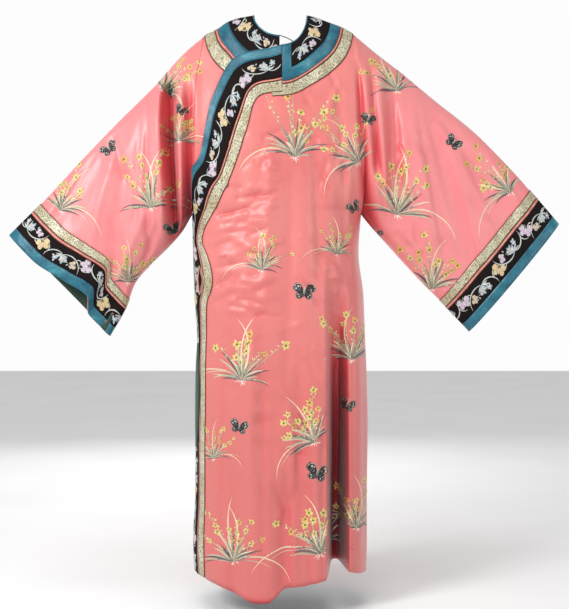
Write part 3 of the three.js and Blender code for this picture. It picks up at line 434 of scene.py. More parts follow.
def sleeve_point(side, s, t):
    tab = SLEEVES[side]
    left_side = side == "left"
    v = (1 - np.cos(t)) / 2
    face = np.where(np.sin(t) >= 0, 1, -1)
    near = 1 - smooth(0, 0.3, s)
    z_in = lerp(tab["top_z"][0], tab["low_z"][0], v)
    clear = -ARMPIT_CLEAR * smooth(0.8, 0.97, v) if left_side else ARMHOLE_HALF
    edge = body(z_in, side) + clear
    bow = (edge - lerp(tab["top_x"][0], tab["low_x"][0], v)) * near
    at = {k: monotone(tab["s"], tab[k], s) for k in ("top_x", "top_z", "low_x", "low_z", "deep")}
    x = lerp(at["top_x"], at["low_x"], v) + bow
    z = lerp(at["top_z"], at["low_z"], v)
    arm = body(z_in, "arm") * np.where(face > 0, 1, BACK_ARM) * rise(tab["top_z"][0] - z_in)
    plain = lerp(at["deep"] * np.sqrt(np.clip(4 * v * (1 - v), 0, None)), arm, near)
    y = (plain + fold_sum(x, z, face, FOLDS) * smooth(8, 50, plain)
         + fold_sum(x, z, face, CREASES) * smooth(8, 40, plain))
    if left_side:
        end = smooth(0.55, 1, s) * (face > 0)
        back = monotone(DRAWN["share"], DRAWN["back"], v) * end
        x = x + back * math.sqrt(0.5)
        z = z + back * math.sqrt(0.5)
        y = y - STEP_DEPTH * end * smooth(STEP_FROM, STEP_TO, v) * smooth(1, 0.9, v)
        y = y + STEP_DEPTH * 0.5 * end * smooth(0.35, STEP_FROM, v) * smooth(STEP_TO, STEP_FROM, v)
    return np.stack([x, -face * y, z], -1)


def on_sleeve(side, s, t):
    s, t = np.broadcast_arrays(np.asarray(s, float), np.asarray(t, float))
    p = sleeve_point(side, s, t)
    mid = (sleeve_point(side, s, 0 * t) + sleeve_point(side, s, 0 * t + np.pi)) / 2
    ds = 0.005
    _, n = with_normal(lambda a, b: sleeve_point(side, a, b), np.clip(s, ds, 1 - ds), t, ds, 0.01, lambda q: p - mid)
    return p, n


def cuff_share(side, t, inward):
    one = sleeve_point(side, 1 + 0 * t, t)
    run = np.linalg.norm(one - sleeve_point(side, 0.85 + 0 * t, t), axis=-1) / 0.15
    return 1 - inward / run


# Meshes
def put(name, data, at=(0, 0, 0), turn=(0, 0, 0)):
    obj = bpy.data.objects.new(name, data)
    obj.location, obj.rotation_euler = at, turn
    bpy.context.scene.collection.objects.link(obj)
    return obj


def mesh_object(name, verts, faces, mats, face_mats, attrs):
    mesh = bpy.data.meshes.new(name)
    mesh.from_pydata([tuple(v) for v in np.asarray(verts) * MM], [], [tuple(f) for f in faces])
    for m in mats:
        mesh.materials.append(m)
    if face_mats is not None:
        mesh.polygons.foreach_set("material_index", np.asarray(face_mats, dtype=np.int32))
    mesh.polygons.foreach_set("use_smooth", np.ones(len(mesh.polygons), dtype=bool))
    for key, vals in attrs.items():
        kind, field = ("FLOAT_COLOR", "color") if vals.shape[1] == 4 else ("FLOAT_VECTOR", "vector")
        mesh.attributes.new(key, kind, "POINT").data.foreach_set(field, vals.astype(np.float32).ravel())
    mesh.update()
    obj = put(name, mesh)
    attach(obj, "root")
    return obj


class Cloth:
    """Patches of points with normals, joined as one sheet and closed as a thin wall."""

    def __init__(self):
        self.p, self.n, self.uv, self.faces = [], [], [], []
        self.count = 0

    def add(self, p, n, uv=None):
        rows, cols = p.shape[:2]
        ids = np.arange(rows * cols).reshape(rows, cols) + self.count
        quads = np.stack([ids[:-1, :-1], ids[1:, :-1], ids[1:, 1:], ids[:-1, 1:]], -1).reshape(-1, 4)
        a, b, c = p[:-1, :-1], p[1:, :-1], p[1:, 1:]
        way = np.sum(np.cross(b - a, c - a) * n[:-1, :-1])
        self.faces.append(quads if way >= 0 else quads[:, ::-1])
        self.p.append(p.reshape(-1, 3))
        self.n.append(n.reshape(-1, 3))
        self.uv.append(np.zeros((rows * cols, 3)) if uv is None else uv.reshape(-1, 3))
        self.count += rows * cols
        return self

    def make(self, name, low, high, mats, inner=0):
        p, n, uv = (np.concatenate(v) for v in (self.p, self.n, self.uv))
        faces = np.concatenate(self.faces)
        key = np.round((p + 0.0137) * 200).astype(np.int64)
        _, first, back = np.unique(key, axis=0, return_index=True, return_inverse=True)
        back = back.reshape(-1)
        p, n, uv, faces = p[first], n[first], uv[first], back[faces]
        clean = []
        for f in faces:
            g = [int(v) for i, v in enumerate(f) if v != f[i - 1]]
            if len(set(g)) >= 3:
                clean.append(g)
        total = len(p)
        once = {}
        for f in clean:
            for a, b in zip(f, f[1:] + f[:1]):
                if (b, a) in once:
                    del once[(b, a)]
                else:
                    once[(a, b)] = True
        rim = [(b, a, a + total, b + total) for a, b in once]
        all_faces = clean + [[v + total for v in reversed(f)] for f in clean] + rim
        idx = [0] * len(clean) + [inner] * len(clean) + [0] * len(rim)
        verts = np.concatenate([p + n * high, p + n * low])
        self.outer = (p + n * high, clean)
        return mesh_object(name, verts, all_faces, mats, idx, {"band": np.concatenate([uv, uv])})


def uv_grid(p, across):
    """Length along the rows and width across, in millimetres, for a band's pattern."""
    mid = p[:, p.shape[1] // 2]
    along = np.concatenate([[0], np.cumsum(np.linalg.norm(np.diff(mid, axis=0), axis=1))])
    uv = np.zeros(p.shape)
    uv[..., 0] = along[:, None]
    uv[..., 1] = np.asarray(across)[None, :]
    return uv


# Materials. Each span is where a painted tone starts and is full, and how full: the painted shade at the foot and the
# painted sheen on each sleeve in metres, the painted shade of folds as the share of open sky that the shader finds
# within the reach
SHEEN_ROUGH = 0.4
FOOT_SHADE_SPAN = (-0.32, -0.95, 0.9)
SLEEVE_SHEEN_SPAN = (0.16, 0.3, 0.5)
FOLD_REACH = 0.07
FOLD_SHADE_SPAN = (0.95, 0.5, 0.95)
PIT_SHADE_SPAN = (0.6, 0.25, 1.0)


def linear(r, g, b):
    return tuple(((c / 255 + 0.055) / 1.055) ** 2.4 if c > 10 else c / 3294.6 for c in (r, g, b)) + (1.0,)


class Shade:
    """A material with its nodes, made from short calls."""

    def __init__(self, name, rough, sheen=0.0, spec=0.5, metal=0.0):
        self.mat = bpy.data.materials.new(name)
        self.mat.use_nodes = True
        self.nodes, self.links = self.mat.node_tree.nodes, self.mat.node_tree.links
        self.bsdf = self.nodes["Principled BSDF"]
        for key, value in (("Roughness", rough), ("Sheen Weight", sheen), ("Sheen Roughness", SHEEN_ROUGH),
                           ("Specular IOR Level", spec), ("Metallic", metal)):
            self.bsdf.inputs[key].default_value = value

    def node(self, kind, inputs=None, **props):
        n = self.nodes.new(kind)
        for k, v in props.items():
            setattr(n, k, v)
        for k, v in (inputs or {}).items():
            if isinstance(v, bpy.types.NodeSocket):
                self.links.new(v, n.inputs[k])
            else:
                n.inputs[k].default_value = v
        return n

    def vector(self, source="object"):
        if source == "object":
            return self.node("ShaderNodeTexCoord").outputs["Object"]
        return self.node("ShaderNodeAttribute", attribute_name=source).outputs["Vector"]

    def axes(self, source="object"):
        return self.node("ShaderNodeSeparateXYZ", {"Vector": self.vector(source)}).outputs

    def place(self, scale, source="object"):
        return self.node("ShaderNodeMapping", {"Vector": self.vector(source), "Scale": scale}).outputs["Vector"]

    def noise(self, scale, detail=3.0, source="object", rough=0.55):
        return self.node("ShaderNodeTexNoise", {"Vector": self.place(scale, source), "Scale": 1.0, "Detail": detail,
                                                "Roughness": rough}).outputs["Fac"]

    def span(self, value, low, high, to=1.0):
        """A value's range from low to high, mapped to 0 and to."""
        return self.node("ShaderNodeMapRange", {"Value": value, "From Min": low, "From Max": high,
                                                "To Max": to}).outputs["Result"]

    def ramp(self, fac, stops):
        r = self.node("ShaderNodeValToRGB", {"Fac": fac})
        elements = r.color_ramp.elements
        r.color_ramp.interpolation = "EASE"
        while len(elements) < len(stops):
            elements.new(0.5)
        for e, (at, col) in zip(elements, stops):
            e.position, e.color = at, col
        return r.outputs["Color"]

    def math(self, op, a, b=0.0):
        return self.node("ShaderNodeMath", {0: a, 1: b, 2: 0.0}, operation=op).outputs[0]

    def mix(self, fac, a, b, mode="MIX"):
        return self.node("ShaderNodeMix", {0: fac, 6: a, 7: b}, data_type="RGBA", blend_type=mode).outputs[2]

    def colour(self, value):
        self.links.new(value, self.bsdf.inputs["Base Color"])

    def bump(self, height, strength, distance):
        b = self.node("ShaderNodeBump", {"Height": height, "Strength": strength, "Distance": distance})
        old = self.bsdf.inputs["Normal"]
        if old.is_linked:
            self.links.new(old.links[0].from_socket, b.inputs["Normal"])
        self.links.new(b.outputs["Normal"], old)


def satin(name, tones, rough, sheen, wrinkle=0.25, streak=0.5, spec=0.45, patch=(5, 5, 3), painted_light=None):
    """Woven silk in three tones. The last argument adds painted light: painted shade towards the foot, a painted sheen
    on each sleeve, painted shade in folds and a darker painted shade deep in a fold low down.
    """
    s = Shade(name, rough, sheen, spec)
    dark, mid, light = (linear(*tone) for tone in tones)
    col = s.ramp(s.noise(patch, 4), [(0.3, dark), (0.52, mid), (0.75, light)])
    if painted_light:
        foot, sleeve_sheen, fold_shade, pit_shade = (linear(*tone) for tone in painted_light)
        axes = s.axes()
        # Painted shade: the coral darkens towards the foot.
        low = s.span(axes["Z"], *FOOT_SHADE_SPAN)
        col = s.mix(low, col, foot)
        # Painted sheen: the coral is lighter and pinker on each sleeve, away from the body.
        col = s.mix(s.span(s.math("ABSOLUTE", axes["X"]), *SLEEVE_SHEEN_SPAN), col, sleeve_sheen)
    col = s.mix(0.2 * streak, col, s.ramp(s.noise((900, 900, 60), 2), [(0.35, dark), (0.65, light)]))
    if painted_light:
        # Painted shade in folds: darker where the shader finds little open sky within the reach.
        open_share = s.node("ShaderNodeAmbientOcclusion", {"Distance": FOLD_REACH}, samples=6).outputs["AO"]
        col = s.mix(s.span(open_share, *FOLD_SHADE_SPAN), col, fold_shade)
        # Darker painted shade deep inside a fold, low down on the robe.
        col = s.mix(s.math("MULTIPLY", s.span(open_share, *PIT_SHADE_SPAN), low), col, pit_shade)
    s.colour(col)
    s.bump(s.noise((30, 30, 17), 3, rough=0.5), wrinkle, 0.004)
    s.bump(s.noise((11, 11, 7), 2), wrinkle, 0.008)
    s.bump(s.noise((1800, 1800, 260), 1), 0.25, 0.0003)
    return s.mat


# The coral's last four tones are painted light: shade towards the foot, sheen on each sleeve, shade in folds and a
# darker shade deep in a fold low down.
CORAL = satin("coral_satin", ((208, 106, 103), (220, 126, 121), (232, 146, 140)), 0.36, 0.35, wrinkle=0.42,
              painted_light=((199, 103, 100), (241, 147, 155), (212, 60, 70), (84, 20, 22)))
# The teal's light patches and streaks are partly its own uneven tone and partly a painted sheen.
TEAL_M = satin("teal_satin", ((6, 70, 92), (20, 98, 118), (66, 142, 156)), 0.34, 0.15, wrinkle=0.7, streak=1.0,
               patch=(26, 26, 40))
LINING = satin("green_lining", ((10, 40, 30), (16, 56, 42), (24, 70, 54)), 0.5, 0.2)
GROUND = satin("black_ground", ((12, 8, 8), (20, 13, 12), (34, 22, 20)), 0.8, 0.0, streak=1.0, spec=0.15)
CORD = satin("dark_cord", ((30, 40, 42), (46, 60, 62), (70, 84, 84)), 0.6, 0.2)



RIBBON_WIDTH = (ALL - RIBBON) * EDGE_WIDTH


def edge_line(s, col, tone, width):
    """Adds a line of another tone along both edges of a band; width is a share of its own."""
    off = s.math("ABSOLUTE", s.math("SUBTRACT", s.axes("band")["Y"], 0.5))
    return s.mix(s.span(off, 0.5 - width * 1.15, 0.5 - width * 0.85), col, tone)


def piping():
    """Dull pink cord between two fine brown lines."""
    s = Shade("pink_piping", 0.5, 0.1)
    col = s.ramp(s.noise((60, 60, 60), 3), [(0.3, linear(186, 112, 98)), (0.7, linear(216, 146, 128))])
    s.colour(edge_line(s, col, linear(112, 62, 48), 0.17))
    s.bump(s.noise((900, 900, 900), 1), 0.3, 0.0003)
    return s.mat


PIPING = piping()


def brocade():
    """Pale ribbon with a small woven scroll and dark edge lines; its pattern follows the ribbon's length."""
    s = Shade("brocade_ribbon", 0.42, 0.2, 0.6, 0.1)
    flat = s.place((1, RIBBON_WIDTH, 1), "band")
    warp = s.node("ShaderNodeTexNoise", {"Vector": flat, "Scale": 0.12, "Detail": 1.0})
    bent = s.node("ShaderNodeVectorMath", {0: flat}, operation="ADD")
    scaled = s.node("ShaderNodeVectorMath", {0: warp.outputs["Color"], "Scale": 10.0}, operation="SCALE")
    s.links.new(scaled.outputs["Vector"], bent.inputs[1])
    cells = s.node("ShaderNodeTexVoronoi", {"Vector": bent.outputs["Vector"], "Scale": 0.11}, feature="F1")
    rings = s.math("SINE", s.math("MULTIPLY", cells.outputs["Distance"], 17.0))
    scroll = s.span(rings, 0.25, 0.65)
    pale = s.ramp(s.noise((0.02, 0.02, 0.02), 2, "band"),
                  [(0.35, linear(184, 170, 132)), (0.6, linear(208, 202, 174)), (0.8, linear(226, 224, 206))])
    col = s.mix(s.math("MULTIPLY", scroll, 0.8), pale, linear(92, 88, 74))
    s.colour(edge_line(s, col, linear(84, 58, 40), 0.07))
    s.bump(scroll, 0.6, 0.0005)
    s.bump(s.noise((1.6, 60, 1), 2, "band"), 0.3, 0.0004)
    return s.mat


RIBBON_M = brocade()


def thread():
    """Silk floss whose colour is stored on the stitches."""
    s = Shade("silk_floss", 0.45, 0.1, 0.4)
    tint = s.node("ShaderNodeAttribute", attribute_name="tint").outputs["Color"]
    fine_noise = s.noise((700, 700, 700), 2)
    col = s.mix(0.22, tint, s.ramp(fine_noise, [(0.3, (0, 0, 0, 1)), (0.7, (1, 1, 1, 1))]), "OVERLAY")
    s.colour(col)
    s.bump(s.noise((1500, 1500, 1500), 1), 0.5, 0.0003)
    return s.mat


FLOSS = thread()

# Panels
EDGE_ROWS = [0, BINDING, TEAL, MID, COLLAR, BLACK, RIBBON, ALL]
rows_f = fine(EDGE_ROWS, 3)
FRONT_ACROSS, FRONT_DOWN = 7, 7
cols_f = fine(list(range(FRONT_COLS + 1)), FRONT_ACROSS)
ks_f = fine(list(range(-1, LAST + 1)), FRONT_DOWN)
SHELLS = {}


def arm_grid(big, edges):
    """A panel's points and normals, which lie flat where the edges given run along an armhole."""
    p, n = on_body(big[..., 0], big[..., 1])
    at_arm = np.zeros(p.shape[:2], bool)
    for edge in edges:
        at_arm[:, edge] = big[:, edge, 1] > ARMPIT + 2
    return p, flatten(n, at_arm)


def round_and_z(p):
    return np.stack([round_of(p[:, 0], p[:, 2]), p[:, 2]], -1)


def panel(name, cloth):
    obj = cloth.make(name + "_cloth", -WALL, 0, [CORAL, LINING], 1)
    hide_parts(name)
    SHELLS[name] = cloth.outer
    return obj


def front_panel():
    rp, rn = front_ring(cols_f, rows_f)
    sp, sn = front_strip(ks_f, rows_f)
    count = LAST + 1
    up = 12
    q2, z2 = station(np.arange(count, dtype=float))[2:]
    top = round_and_z(front_ring(range(FRONT_COLS + 1), [ALL])[0][:, 0])
    left = np.concatenate([top[:1], np.stack([q2, z2], -1)])
    j = np.arange(count + 1)
    z_r = np.where(j <= up, lerp(SHOULDER_END, ARMPIT, j / up), lerp(ARMPIT, BACK_HEM, (j - up) / (count - up)))
    right = np.stack([seam_share(z_r, 1, -1), z_r], -1)
    bq = lower_shares(left[-1, 0], right[-1, 0])
    bottom = np.stack([bq, hem_at(bq)], -1)
    grid = blend_edges(top, bottom, left, right, up + 2)
    w = smooth(up, up + 6, j)[:, None]
    wide = np.stack([lower_shares(left[i, 0], right[i, 0]) for i in j])
    keep_edge = np.ones(FRONT_COLS + 1)
    keep_edge[0] = keep_edge[-1] = 0
    grid[..., 0] = lerp(grid[..., 0], wide, w * keep_edge)
    big = stretch(grid, FRONT_DOWN, FRONT_ACROSS)
    jj = np.linspace(0, count, count * FRONT_DOWN + 1)
    ii = np.linspace(0, FRONT_COLS, FRONT_COLS * FRONT_ACROSS + 1)
    big[-1, 1:-1, 1] = hem_at(big[-1, :, 0])[1:-1]
    p, n = arm_grid(big, [-1])
    lap = station_lap(np.maximum(0, jj - 1))[:, None] * lap_fade(ii)[None, :]
    p = p + n * lap[..., None]
    p[0], n[0] = rp[:, -1], rn[:, -1]
    p[:, 0], n[:, 0] = sp[:, -1], sn[:, -1]
    return panel("front", Cloth().add(rp, rn).add(sp, sn).add(p, n))


def under_panel():
    c, r = np.meshgrid(fine(list(range(UNDER_COLS + 1)), 4) / UNDER_COLS, rows_f, indexing="ij")
    rp, rn = ring(3, c, r)
    top = ring(3, np.arange(UNDER_COLS + 1) / UNDER_COLS, 1.0)[0]
    v = np.linspace(0, 1, UNDER_ROWS + 1)
    x, z = ((1 - v) ** 2 * top[0, axis] + 2 * v * (1 - v) * bend + v * v * end
            for axis, bend, end in UNDER_CURVE)
    left = np.stack([round_of(x, z), z], -1)
    z_r = lerp(top[-1, 2], ARMPIT + 4, v)
    right = np.stack([seam_share(z_r, 0, 1), z_r], -1)
    bottom = lerp(left[-1][None], right[-1][None], np.linspace(0, 1, UNDER_COLS + 1)[:, None])
    p, n = arm_grid(stretch(blend_edges(round_and_z(top), bottom, left, right), 7, 4), [-1])
    p[0], n[0] = rp[:, -1], rn[:, -1]
    return panel("under_front", Cloth().add(rp, rn).add(p, n))


def back_ring(cols, rows, gap=SHOULDER_GAP):
    """Back half of the neck ring, w from 0 at the right shoulder to 2 at the left."""
    w, r = np.meshgrid(np.asarray(cols, float), rows, indexing="ij")
    a, an = ring(1, np.clip(1 - w, 0, 1), r, gap)
    b, bn = ring(2, np.clip(w - 1, 0, 1), r, gap)
    first = (w <= 1)[..., None]
    return np.where(first, a, b), np.where(first, an, bn)


def back_panel():
    rp, rn = back_ring(np.linspace(0, 2, BACK_COLS * 4 + 1), rows_f)
    up, down = 9, 11
    top_p = back_ring(np.linspace(0, 2, BACK_COLS + 1), [ALL])[0][:, 0]
    top = round_and_z(top_p) * (-1, 1) + (2, 0)
    j = np.arange(up + down + 1)
    z_l, z_r = (np.where(j <= up, lerp(first, ARMPIT, j / up), lerp(ARMPIT, BACK_HEM, (j - up) / down))
                for first in top_p[[0, -1], 2])
    left = np.stack([seam_share(z_l, 1, 1), z_l], -1)
    right = np.stack([seam_share(z_r, 2, -1) + 0.05 * smooth(ARMPIT - 5, ARMPIT - 70, z_r), z_r], -1)
    bq = np.linspace(left[-1, 0], right[-1, 0], BACK_COLS + 1)
    bottom = np.stack([bq, hem_at(np.minimum(bq, 2))], -1)
    p, n = arm_grid(stretch(blend_edges(top, bottom, left, right), 7, 4), [0, -1])
    p[0], n[0] = rp[:, -1], rn[:, -1]
    return panel("back", Cloth().add(rp, rn).add(p, n))


T_STEPS = 144
t_ring = np.linspace(0, 2 * np.pi, T_STEPS + 1)
t_ring[-1] = 0


def sleeve_panel(side):
    s_rows = np.linspace(ARMHOLE_HALF / 420, 0.7, 60)
    s, t = np.meshgrid(s_rows, t_ring, indexing="ij")
    p, n = on_sleeve(side, s, t)
    first = np.zeros(p.shape[:2], bool)
    first[0] = True
    n = flatten(n, first)
    w = np.linspace(0, 1, 26)[1:, None]
    s2 = lerp(0.7 + 0 * t_ring[None], 1.0, w)
    p2, n2 = on_sleeve(side, s2, t_ring[None] + 0 * w)
    return panel("sleeve_" + side, Cloth().add(np.concatenate([p, p2]), np.concatenate([n, n2])))


pieces = {"front": front_panel(), "under_front": under_panel(), "back": back_panel(),
          "sleeve_left": sleeve_panel("left"), "sleeve_right": sleeve_panel("right")}

# Bands


def inset_rows(a, b, parts):
    e = BAND_HALF / EDGE_WIDTH
    return np.linspace(a + e, b - e, parts + 1)


def collar_grid(rows, front_from=0, under_to=0):
    f_cols = fine(list(range(int(front_from), FRONT_COLS + 1)), 4)
    f_cols[0] = front_from
    fp, fn = front_ring(f_cols, rows, 0)
    bp, bn = back_ring(np.linspace(0, 2, BACK_COLS * 4 + 1)[1:-1], rows, 0)
    c, r = np.meshgrid(fine(list(range(UNDER_COLS, under_to - 1, -1)), 4) / UNDER_COLS, rows, indexing="ij")
    up, un = ring(3, c, r, 0)
    return np.concatenate([fp, bp, up]), np.concatenate([fn, bn, un])


def band(name, node, grids, mat, low=TRIM_FROM, high=TRIM_TO, profile=None):
    cloth = Cloth()
    for p, n in grids:
        share = np.linspace(0, 1, p.shape[1])
        if profile is not None:
            p = p + n * profile(share)[None, :, None]
        cloth.add(p, n, uv_grid(p, share))
    obj = cloth.make(name, low, high, [mat])
    if node:
        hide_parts(node)
    SHELLS[name] = cloth.outer
    pieces[name] = obj
    return obj


def dome(height):
    return lambda share: height * np.sqrt(np.clip(1 - (2 * share - 1) ** 2, 0, 1))


BLACK_FROM = COLLAR_BLOCK + 0.02
band("neck_binding_cloth", "neck_binding", [collar_grid(inset_rows(0, BINDING, 6))], TEAL_M, profile=dome(1.2))
band("collar_black_cloth", "collar_black", [collar_grid(inset_rows(BINDING, COLLAR, 9), BLACK_FROM)], GROUND)
block_rows = np.concatenate([inset_rows(BINDING, COLLAR, 9)[:-1], inset_rows(COLLAR, BLACK, 4)])
block = front_ring(fine(list(range(COLLAR_BLOCK + 1)), 4), block_rows, 0)
band("collar_teal_cloth", "collar_teal",
     [block, collar_grid(inset_rows(COLLAR, BLACK, 4), COLLAR_BLOCK, UNDER_END)], TEAL_M)
band("collar_ribbon_cloth", "collar_ribbon", [collar_grid(inset_rows(RIBBON, ALL, 5), 0, UNDER_END)], RIBBON_M)


EDGING_RISE, EDGING_FROM = 0.075, -0.97


def edging_grid(rows, rise=EDGING_RISE):
    return front_strip(np.concatenate([[EDGING_FROM], ks_f[1:]]), rows, rise)


band("front_teal_cloth", "front_teal", [edging_grid(inset_rows(0, TEAL, 5))], TEAL_M)
band("front_black_cloth", "front_black", [edging_grid(inset_rows(TEAL, BLACK, 10))], GROUND)
band("front_ribbon_cloth", "front_ribbon", [edging_grid(inset_rows(RIBBON, ALL, 5))], RIBBON_M)
step = front_strip(np.linspace(EDGING_FROM, 0.3, 12), inset_rows(RIBBON, ALL, 5))
band("collar_ribbon_end", None, [step], RIBBON_M, 0.1, 1.0)
piping_rows = inset_rows(BLACK + 0.004, RIBBON - 0.004, 5)
for name, grid in (("collar", collar_grid(piping_rows, 0, UNDER_END)), ("front", edging_grid(piping_rows))):
    band(name + "_piping", None, [grid], PIPING, PIPING_FROM, PIPING_TO, dome(1.5))


def cuff_grid(side, near, far, parts):
    d = np.linspace(near, far, parts + 1)
    s = np.stack([cuff_share(side, t_ring, v) for v in d], -1)
    return on_sleeve(side, s, t_ring[:, None] + 0 * s)


for side in ("left", "right"):
    for kind, near, far, parts, mat in (("teal", 0, CUFF_TEAL - BAND_HALF, 4, TEAL_M),
                                        ("black", CUFF_TEAL + BAND_HALF, CUFF_BLACK, 8, GROUND),
                                        ("ribbon", CUFF_RIBBON, CUFF_ALL, 5, RIBBON_M)):
        node = "cuff_%s_%s" % (kind, side)
        band(node + "_cloth", node, [cuff_grid(side, near, far, parts)], mat)
    band("cuff_piping_" + side, None, [cuff_grid(side, CUFF_BLACK + 0.6, CUFF_RIBBON - 0.6, 5)], PIPING,
         PIPING_FROM, PIPING_TO, dome(1.8))

# The lining's roll beside the side opening, widest halfway down
roll_z = np.linspace(-750, -985, 41)
roll_share = np.sin(np.pi * (np.linspace(0, 8, 41) + 0.6) / 9.2)
roll_q = np.stack([lerp(lerp(0.075, 0.045, roll_share), lerp(0.09, 0.118, roll_share), w)
                   for w in np.linspace(0, 1, 9)], -1)
rp, rn = on_body(roll_q, roll_z[:, None] + 0 * roll_q)
band("lining_roll_cloth", "lining_roll", [(rp + rn * (LAP + TRIM_TO + 0.6), rn)], LINING, profile=dome(1.6))

# Embroidery: thin domed stitches drawn in the plane and laid on the cloth
FLAT_EDGE = -0.08
JUMP = 9.0
RAY_FROM = 500.0
CREAM = linear(240, 216, 184)
SAGE = linear(134, 136, 116)
MOSS = linear(96, 98, 78)
MAUVE = linear(98, 70, 80)
SLATE = linear(96, 96, 100)
PALE_SAGE = linear(204, 196, 164)
YELLOW = linear(204, 178, 84)
LEMON = linear(222, 206, 138)
OLIVE = linear(98, 90, 38)
PEACH = linear(226, 160, 112)
ROOT_WHITE = linear(246, 220, 208)
INK = linear(26, 22, 24)
ASH = linear(176, 176, 166)
ICE = linear(168, 180, 176)
SKY = linear(88, 126, 156)
SNOW = linear(206, 206, 198)
LILAC = linear(188, 168, 188)
SAND = linear(194, 170, 138)


def path(start, angle, length, bend, steps, power=1.4):
    """A curve that leaves at an angle from straight up, in degrees, and turns by bend along its way."""
    t = np.linspace(0, 1, steps + 1)
    way = np.radians(angle + bend * t ** power)
    mid = (way[1:] + way[:-1]) / 2
    step = length / steps
    x = start[0] + np.concatenate([[0], np.cumsum(np.sin(mid) * step)])
    y = start[1] + np.concatenate([[0], np.cumsum(np.cos(mid) * step)])
    return np.stack([x, y], -1)


def taper(steps, width, root=0.25, tip=0.0, peak=0.35):
    t = np.linspace(0, 1, steps + 1)
    up = root + (1 - root) * np.sin(np.pi / 2 * np.clip(t / peak, 0, 1))
    down = tip + (1 - tip) * np.cos(np.pi / 2 * np.clip((t - peak) / (1 - peak), 0, 1)) ** 0.8
    return width * up * down + 0.25


def across(line):
    d = unit(np.gradient(line, axis=0))
    return np.stack([-d[:, 1], d[:, 0]], -1)


def heading(angle):
    a = math.radians(angle)
    return np.array([math.sin(a), math.cos(a)])


